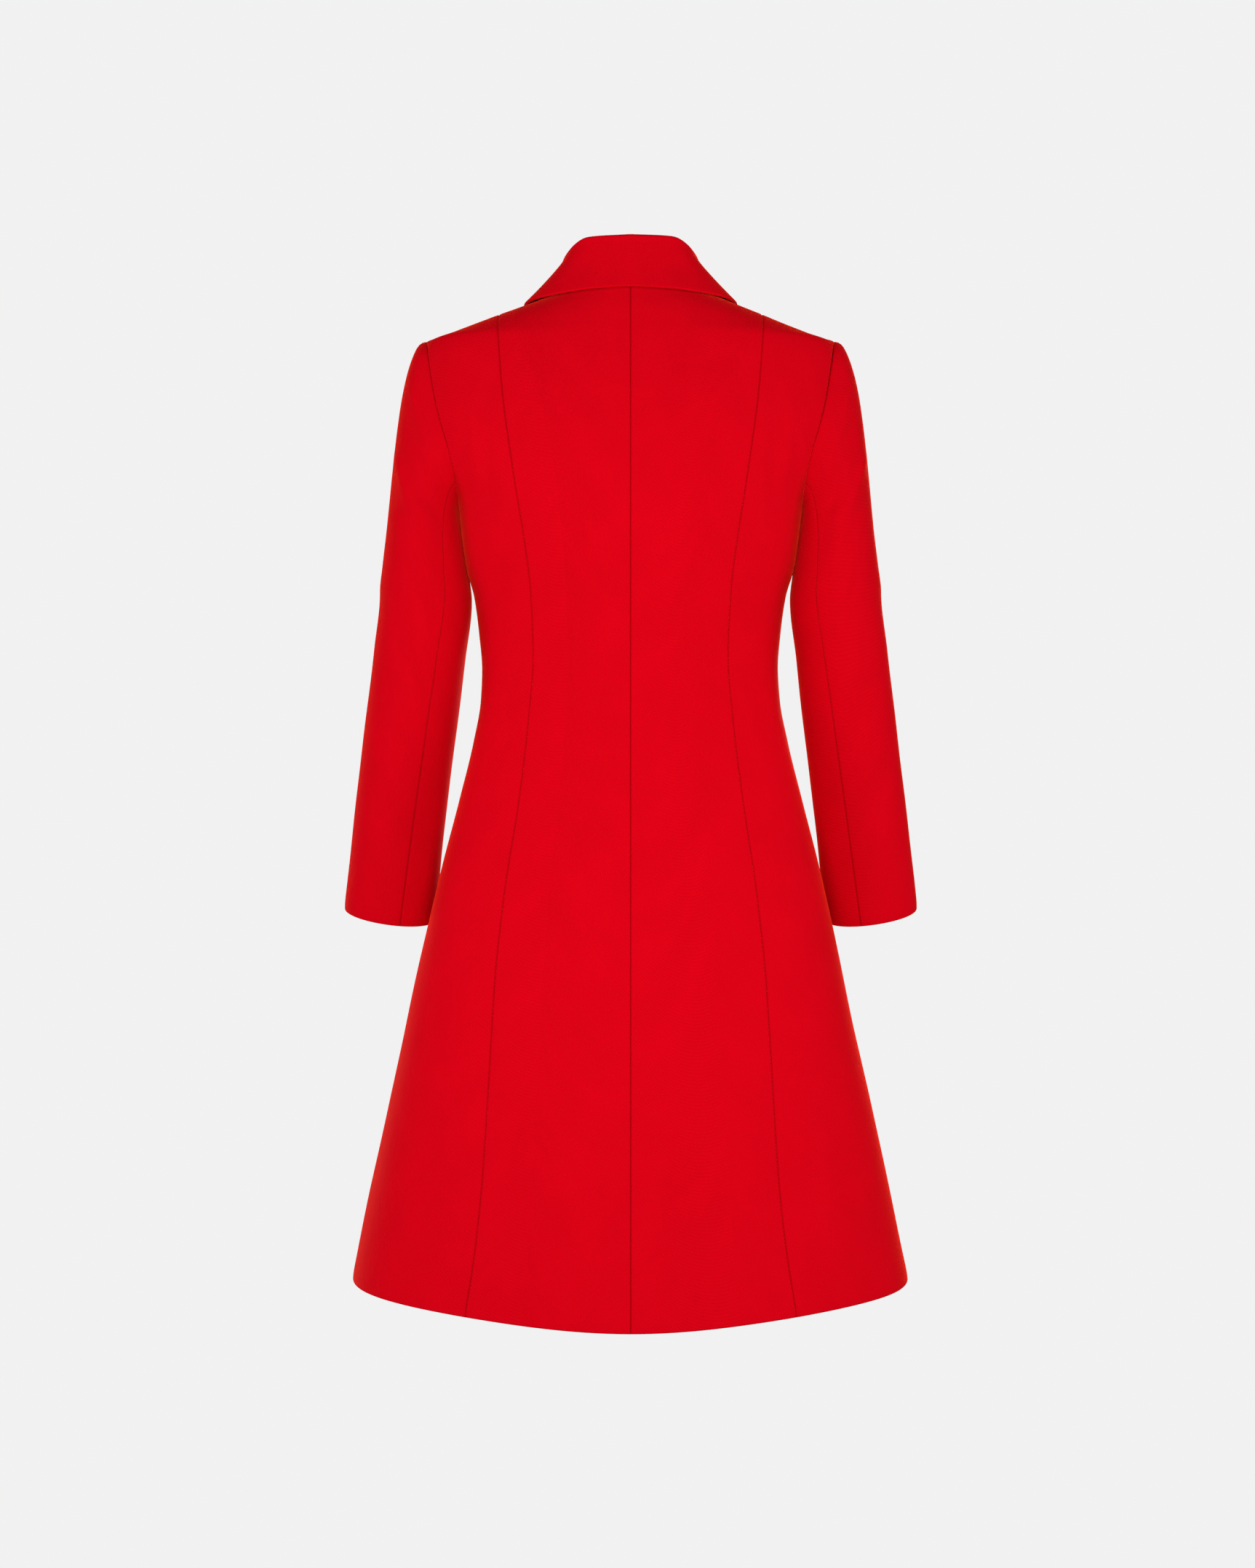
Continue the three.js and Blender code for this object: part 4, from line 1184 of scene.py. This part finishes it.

# %% [markdown]
# The plastic is dyed through, with slow clouds in it and the faint swirl of a cast sheet, under a satin
# polish that is a little worn. The thread is a twisted cord, with painted light on the crest of each turn
# and painted shade in the groove between its plies.

# %% Button and thread materials
PLASTIC_DEEP = (0.46, 0.001, 0.008, 1)
PLASTIC_FACE = (0.68, 0.002, 0.014, 1)
THREAD_DEEP = (0.46, 0.001, 0.006, 1)
THREAD_FACE = (0.82, 0.003, 0.014, 1)
POLISH = (0.3, 0.42)  # roughness of the plastic, from its glossiest places to the worn ones
SWIRL_SCALE = 420.0
SWIRL_SHARE = 0.5  # the rest of the plastic's colour follows the clouds
STRAND_SHADE_SHARE = 0.6  # and the same for the thread's, whose twist adds painted light and shade
TWIST = 0.7  # turns of the thread for each millimetre
PLIES = 2  # crests that one round of the thread crosses

plastic, tree, shader = new_material("dyed plastic")
place = add_node(tree, "ShaderNodeTexCoord").outputs["Object"]
cloud = placed_group(tree, dye, {"Place": place, "Scale": 160.0})
swirl = noise(tree, place, SWIRL_SCALE, detail=4.0, rough=0.6)
tone = calc(tree, "MULTIPLY", cloud.outputs["Cloud"], 1 - SWIRL_SHARE)
tone = calc(tree, "MULTIPLY_ADD", swirl, SWIRL_SHARE, tone)
finish = {
    "Base Color": blend(tree, tone, PLASTIC_DEEP, PLASTIC_FACE),
    "Roughness": rescale(tree, swirl, 0.3, 0.7, *POLISH),
    "Normal": bump(tree, swirl, strength=0.25, distance=0.1 * MM),
    "Specular IOR Level": 0.22,
}
feed(tree, shader, finish)

thread, tree, shader = new_material("sewing thread")
cloth = add_node(tree, "ShaderNodeUVMap", uv_map="cloth").outputs["UV"]
flat = add_node(tree, "ShaderNodeSeparateXYZ", {0: cloth})
around = calc(tree, "MULTIPLY", flat.outputs["X"], PLIES)
turns = calc(tree, "MULTIPLY_ADD", flat.outputs["Y"], TWIST / MM, around)
strand = calc(tree, "COSINE", calc(tree, "MULTIPLY", turns, 2 * math.pi))
strand = rescale(tree, strand, -1.0, 1.0)
place = add_node(tree, "ShaderNodeTexCoord").outputs["Object"]
cloud = placed_group(tree, dye, {"Place": place, "Scale": 900.0})
tone = calc(tree, "MULTIPLY", cloud.outputs["Cloud"], 1 - STRAND_SHADE_SHARE)
# painted light and shade: the crest of each turn lighter, the groove between plies darker
tone = calc(tree, "MULTIPLY_ADD", strand, STRAND_SHADE_SHARE, tone)
finish = {
    "Base Color": blend(tree, tone, THREAD_DEEP, THREAD_FACE),
    "Normal": bump(tree, strand, strength=0.6, distance=0.08 * MM),
    "Roughness": 0.6,
    "Specular IOR Level": 0.08,
}
feed(tree, shader, finish)
print("materials:", [material.name for material in bpy.data.materials])

# %% [markdown]
# A button has to sit on the cloth, creases and all. So rays are cast from the front onto the finished
# right front, and the button takes the slope that they find and rests just clear of the highest place.
# The same rays later lay every stitch of the buttonholes on the cloth.

# %% Find the face of the right front
TOP_BUTTON_Z = -128
BUTTON_SPACING = 88
BUTTON_COUNT = 5
SEAT_GAP = 0.3

over_front = cloth_pieces["front_right"].data
front_tree = BVHTree.FromPolygons(
    [vertex.co for vertex in over_front.vertices],
    [tuple(polygon.vertices) for polygon in over_front.polygons],
)


def on_front(x, z):
    """The place on the cloth and its normal, both as arrays, in millimetres."""
    place, normal, _, _ = front_tree.ray_cast(Vector((x * MM, -1, z * MM)), Vector((0, 1, 0)))
    normal = np.array(normal)
    return np.array(place) / MM, normal * -np.sign(normal[1])


def button_frame(z):
    """The middle of a button's seat, and its directions across, up and out."""
    reach = BUTTON_RADIUS - RIM
    spots = (-reach, z), (reach, z), (0, z - reach), (0, z + reach)
    left, right, low, high = (on_front(*spot)[0] for spot in spots)
    across, up = unit(right - left), unit(high - low)
    out = unit(np.cross(across, up))
    up = np.cross(out, across)
    middle = (left + right + low + high) / 4
    spots = [on_front(x, z + dz)[0] for x in (-reach, 0, reach) for dz in (-reach, 0, reach)]
    lift = max(float((spot - middle) @ out) for spot in spots)
    return middle + out * (lift + SEAT_GAP), across, up, out


print("top button sits at y =", round(float(button_frame(TOP_BUTTON_Z)[0][1]), 1), "mm")

# %% [markdown]
# Thread is made as small tubes along paths, and one function makes many of them into one mesh. Curves
# with a bevel would do the same, but hundreds of stitches are quicker as one mesh. Each button is sewn
# with two bars of four strands that arch from hole to hole.

# %% Tubes of thread
TUBE_SIDES = 6


def thread_object(name, paths, radius):
    points, faces, places = [], [], []
    for path in paths:
        ahead = unit(np.gradient(path, axis=0))
        aside = unit(np.cross(ahead, (0.31, 0.52, 0.79)))
        above = np.cross(ahead, aside)
        turn = np.linspace(0, 2 * np.pi, TUBE_SIDES, endpoint=False)[:, None, None]
        rings = path + radius * (np.cos(turn) * aside + np.sin(turn) * above)
        faces += ring_faces(len(path), TUBE_SIDES, sum(len(p) for p in points))
        points.append(rings.swapaxes(0, 1).reshape(-1, 3))
        length = running_length(path, 0)
        share = np.arange(TUBE_SIDES) / TUBE_SIDES / MM  # once round is a whole unit across
        places += [(s, along) for along in length for s in share]
    made = add_object(name, np.concatenate(points), faces, thread)
    add_flat_places(made, places)
    return made


# %% [markdown]
# Each button is the drilled disc, moved to its seat on the cloth and then sewn on. The strands of a bar
# lie side by side with small uneven shifts, as hand sewing does.

# %% Buttons with their thread
STRANDS = 4
STRAND_RADIUS = 0.24
STRAND_STEP = 0.42
ARCH_REACH = 1.95  # from the middle of the bar to where its thread goes down a hole
ARCH_FOOT = 1.2  # height at which it does
ARCH_RISE = 2.3
ARCH_SQUARENESS = 2.6
ARCH_POINTS = 15
HAND = 0.05  # how unevenly a hand places the strands and stitches, in millimetres

sewn = np.random.default_rng(5)
bend = np.linspace(0, np.pi, ARCH_POINTS)
arch_across = ARCH_REACH * np.sign(np.cos(bend)) * np.abs(np.cos(bend)) ** (2 / ARCH_SQUARENESS)
arch_height = ARCH_FOOT + ARCH_RISE * np.sin(bend) ** (2 / ARCH_SQUARENESS)
for k in range(BUTTON_COUNT):
    seat, across, up, out = button_frame(TOP_BUTTON_Z - k * BUTTON_SPACING)
    axes = np.stack([across, up, out], 1)
    shape = Matrix([[*axes[i], seat[i] * MM] for i in range(3)] + [[0, 0, 0, 1]])
    mesh = drilled.copy()
    mesh.transform(shape)
    mesh.materials.clear()
    mesh.materials.append(plastic)
    button = new_object(f"button_{k + 1}_disc", mesh)
    bars = []
    for bar in (-HOLE_PLACE, HOLE_PLACE):
        for i in range(STRANDS):
            lean, shift = sewn.normal(0, HAND, 2)
            sideways = bar + (i - (STRANDS - 1) / 2) * STRAND_STEP + shift + lean * arch_across
            local = np.stack([arch_across, sideways, arch_height + abs(shift)], 1)
            bars.append(seat + local @ axes.T)
    strands = thread_object(f"button_{k + 1}_thread", bars, STRAND_RADIUS)
    for piece in (button, strands):
        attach(piece, "root")
    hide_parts(f"button_{k + 1}")
print("buttons:", BUTTON_COUNT)

# %% [markdown]
# A buttonhole on a coat is a slit whose two lips are covered by close stitches, with a bar across its
# end. It runs level from just past the middle of the button, and the button hides half of it. Each
# stitch is a short arched tube, and all those of one buttonhole are one mesh.

# %% Buttonholes
HOLE_START = 3  # from the centre front towards the edge
HOLE_END = -27  # and towards the princess seam
STITCH_STEP = 0.52
STITCH_LENGTH = 2.1
STITCH_UNEVEN = 0.08
STITCH_POINTS = 5
SLIT = 0.18  # half the width that stays open
STITCH_RADIUS = 0.26
STITCH_RISE = 0.22
STITCH_LIFT = 0.04
BAR_STITCHES = 4


def stitch(start, end):
    path = []
    for share in np.linspace(0, 1, STITCH_POINTS):
        spot, normal = on_front(*mix(np.array(start), np.array(end), share))
        path.append(spot + normal * (STITCH_RISE * math.sin(math.pi * share) + STITCH_LIFT))
    return np.array(path)


for k in range(BUTTON_COUNT):
    z = TOP_BUTTON_Z - k * BUTTON_SPACING
    stitches = []
    for x in np.arange(HOLE_END, HOLE_START, STITCH_STEP):
        for lip in (-1, 1):
            reach = STITCH_LENGTH + sewn.normal(0, STITCH_UNEVEN)
            end = (x + sewn.normal(0, HAND), z + lip * reach)
            stitches.append(stitch((x, z + lip * SLIT), end))
    for i in range(BAR_STITCHES):
        x = HOLE_END - (i + 0.5) * STITCH_STEP
        stitches.append(stitch((x, z - STITCH_LENGTH), (x, z + STITCH_LENGTH)))
    buttonhole = thread_object(f"buttonhole_{k + 1}", stitches, STITCH_RADIUS)
    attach(buttonhole, "root")
print("stitches in a buttonhole:", len(stitches))

# %% [markdown]
# The light in the photograph is very even. The back of the coat is brightest, so the main soft light
# stands close to the camera. Two low ones from behind reach the flared sides of the skirt, and wide ones
# from the sides and above even out the rest. Two more stand before the coat, for the front that the
# photograph hides.
# The world gives the ground its pale grey for the eye and a far weaker light for the cloth.

# %% Light and background
GROUND = (0.88, 0.88, 0.88, 1)
AMBIENT = 0.08

world = bpy.data.worlds.new("studio")
bpy.context.scene.world = world
world.use_nodes = True
sky = world.node_tree
background = sky.nodes["Background"]
background.inputs["Color"].default_value = GROUND
seen = add_node(sky, "ShaderNodeLightPath").outputs["Is Camera Ray"]
sky.links.new(rescale(sky, seen, 0.0, 1.0, AMBIENT, 1.0), background.inputs["Strength"])
bpy.context.scene.view_settings.view_transform = "Standard"


def soft_light(name, place, target, size, power):
    data = bpy.data.lights.new(name, "AREA")
    data.shape = "DISK"
    data.size = size
    data.energy = power
    light = new_object(name, data)
    light.location = place
    aim = Vector(target) - Vector(place)
    light.rotation_euler = aim.to_track_quat("-Z", "Y").to_euler()
    light.visible_camera = False
    print(name, power, "W")


LIGHTS = [  # name, place, what it is aimed at, its width in metres and its power in watts
    ("light near the camera", (0.03, 1.4, -0.33), (0, 0, -0.42), 0.9, 14.2),
    ("low light from the back left", (1.15, 1.0, -1.0), (0, 0, -0.8), 0.7, 2.8),
    ("low light from the back right", (-1.15, 1.0, -1.0), (0, 0, -0.8), 0.7, 3.4),
    ("light from the left side", (2.3, 0.6, -0.45), (0, 0, -0.55), 1.4, 20),
    ("light from the right side", (-2.3, 0.6, -0.45), (0, 0, -0.55), 1.4, 20),
    ("light from above", (0, 1.5, 1.0), (0, 0, -0.4), 1.2, 6.3),
    ("light before the coat", (-0.5, -1.6, -0.1), (0, 0, -0.45), 0.8, 25),
    ("low light before the coat", (1.1, -1.3, -0.9), (0, 0, -0.7), 0.8, 9),
]
for light in LIGHTS:
    soft_light(*light)

# %% [markdown]
# The coat has no floor in the photograph, where it hangs in front of plain grey. A small pale floor
# lies well below the hem, out of the main view, so that views from above have something to stand over.
# It gives off a little of the ground's own light, so that its edge hardly shows.

# %% Floor
FLOOR_Z = -1620
FLOOR_RADIUS = 620
FLOOR_SIDES = 96
FLOOR_GREYS = (0.57, 0.57, 0.57, 1), (0.60, 0.60, 0.60, 1)

rim_points = ring(FLOOR_RADIUS, FLOOR_Z, FLOOR_SIDES)
plaster, tree, shader = new_material("pale floor")
place = add_node(tree, "ShaderNodeTexCoord").outputs["Object"]
cloud = placed_group(tree, dye, {"Place": place, "Scale": 6.0})
finish = {
    "Base Color": blend(tree, cloud.outputs["Cloud"], *FLOOR_GREYS),
    "Roughness": 0.8,
    "Emission Color": GROUND,
    "Emission Strength": 0.29,
}
feed(tree, shader, finish)
floor = add_object("floor", rim_points, [list(range(FLOOR_SIDES))], plaster)
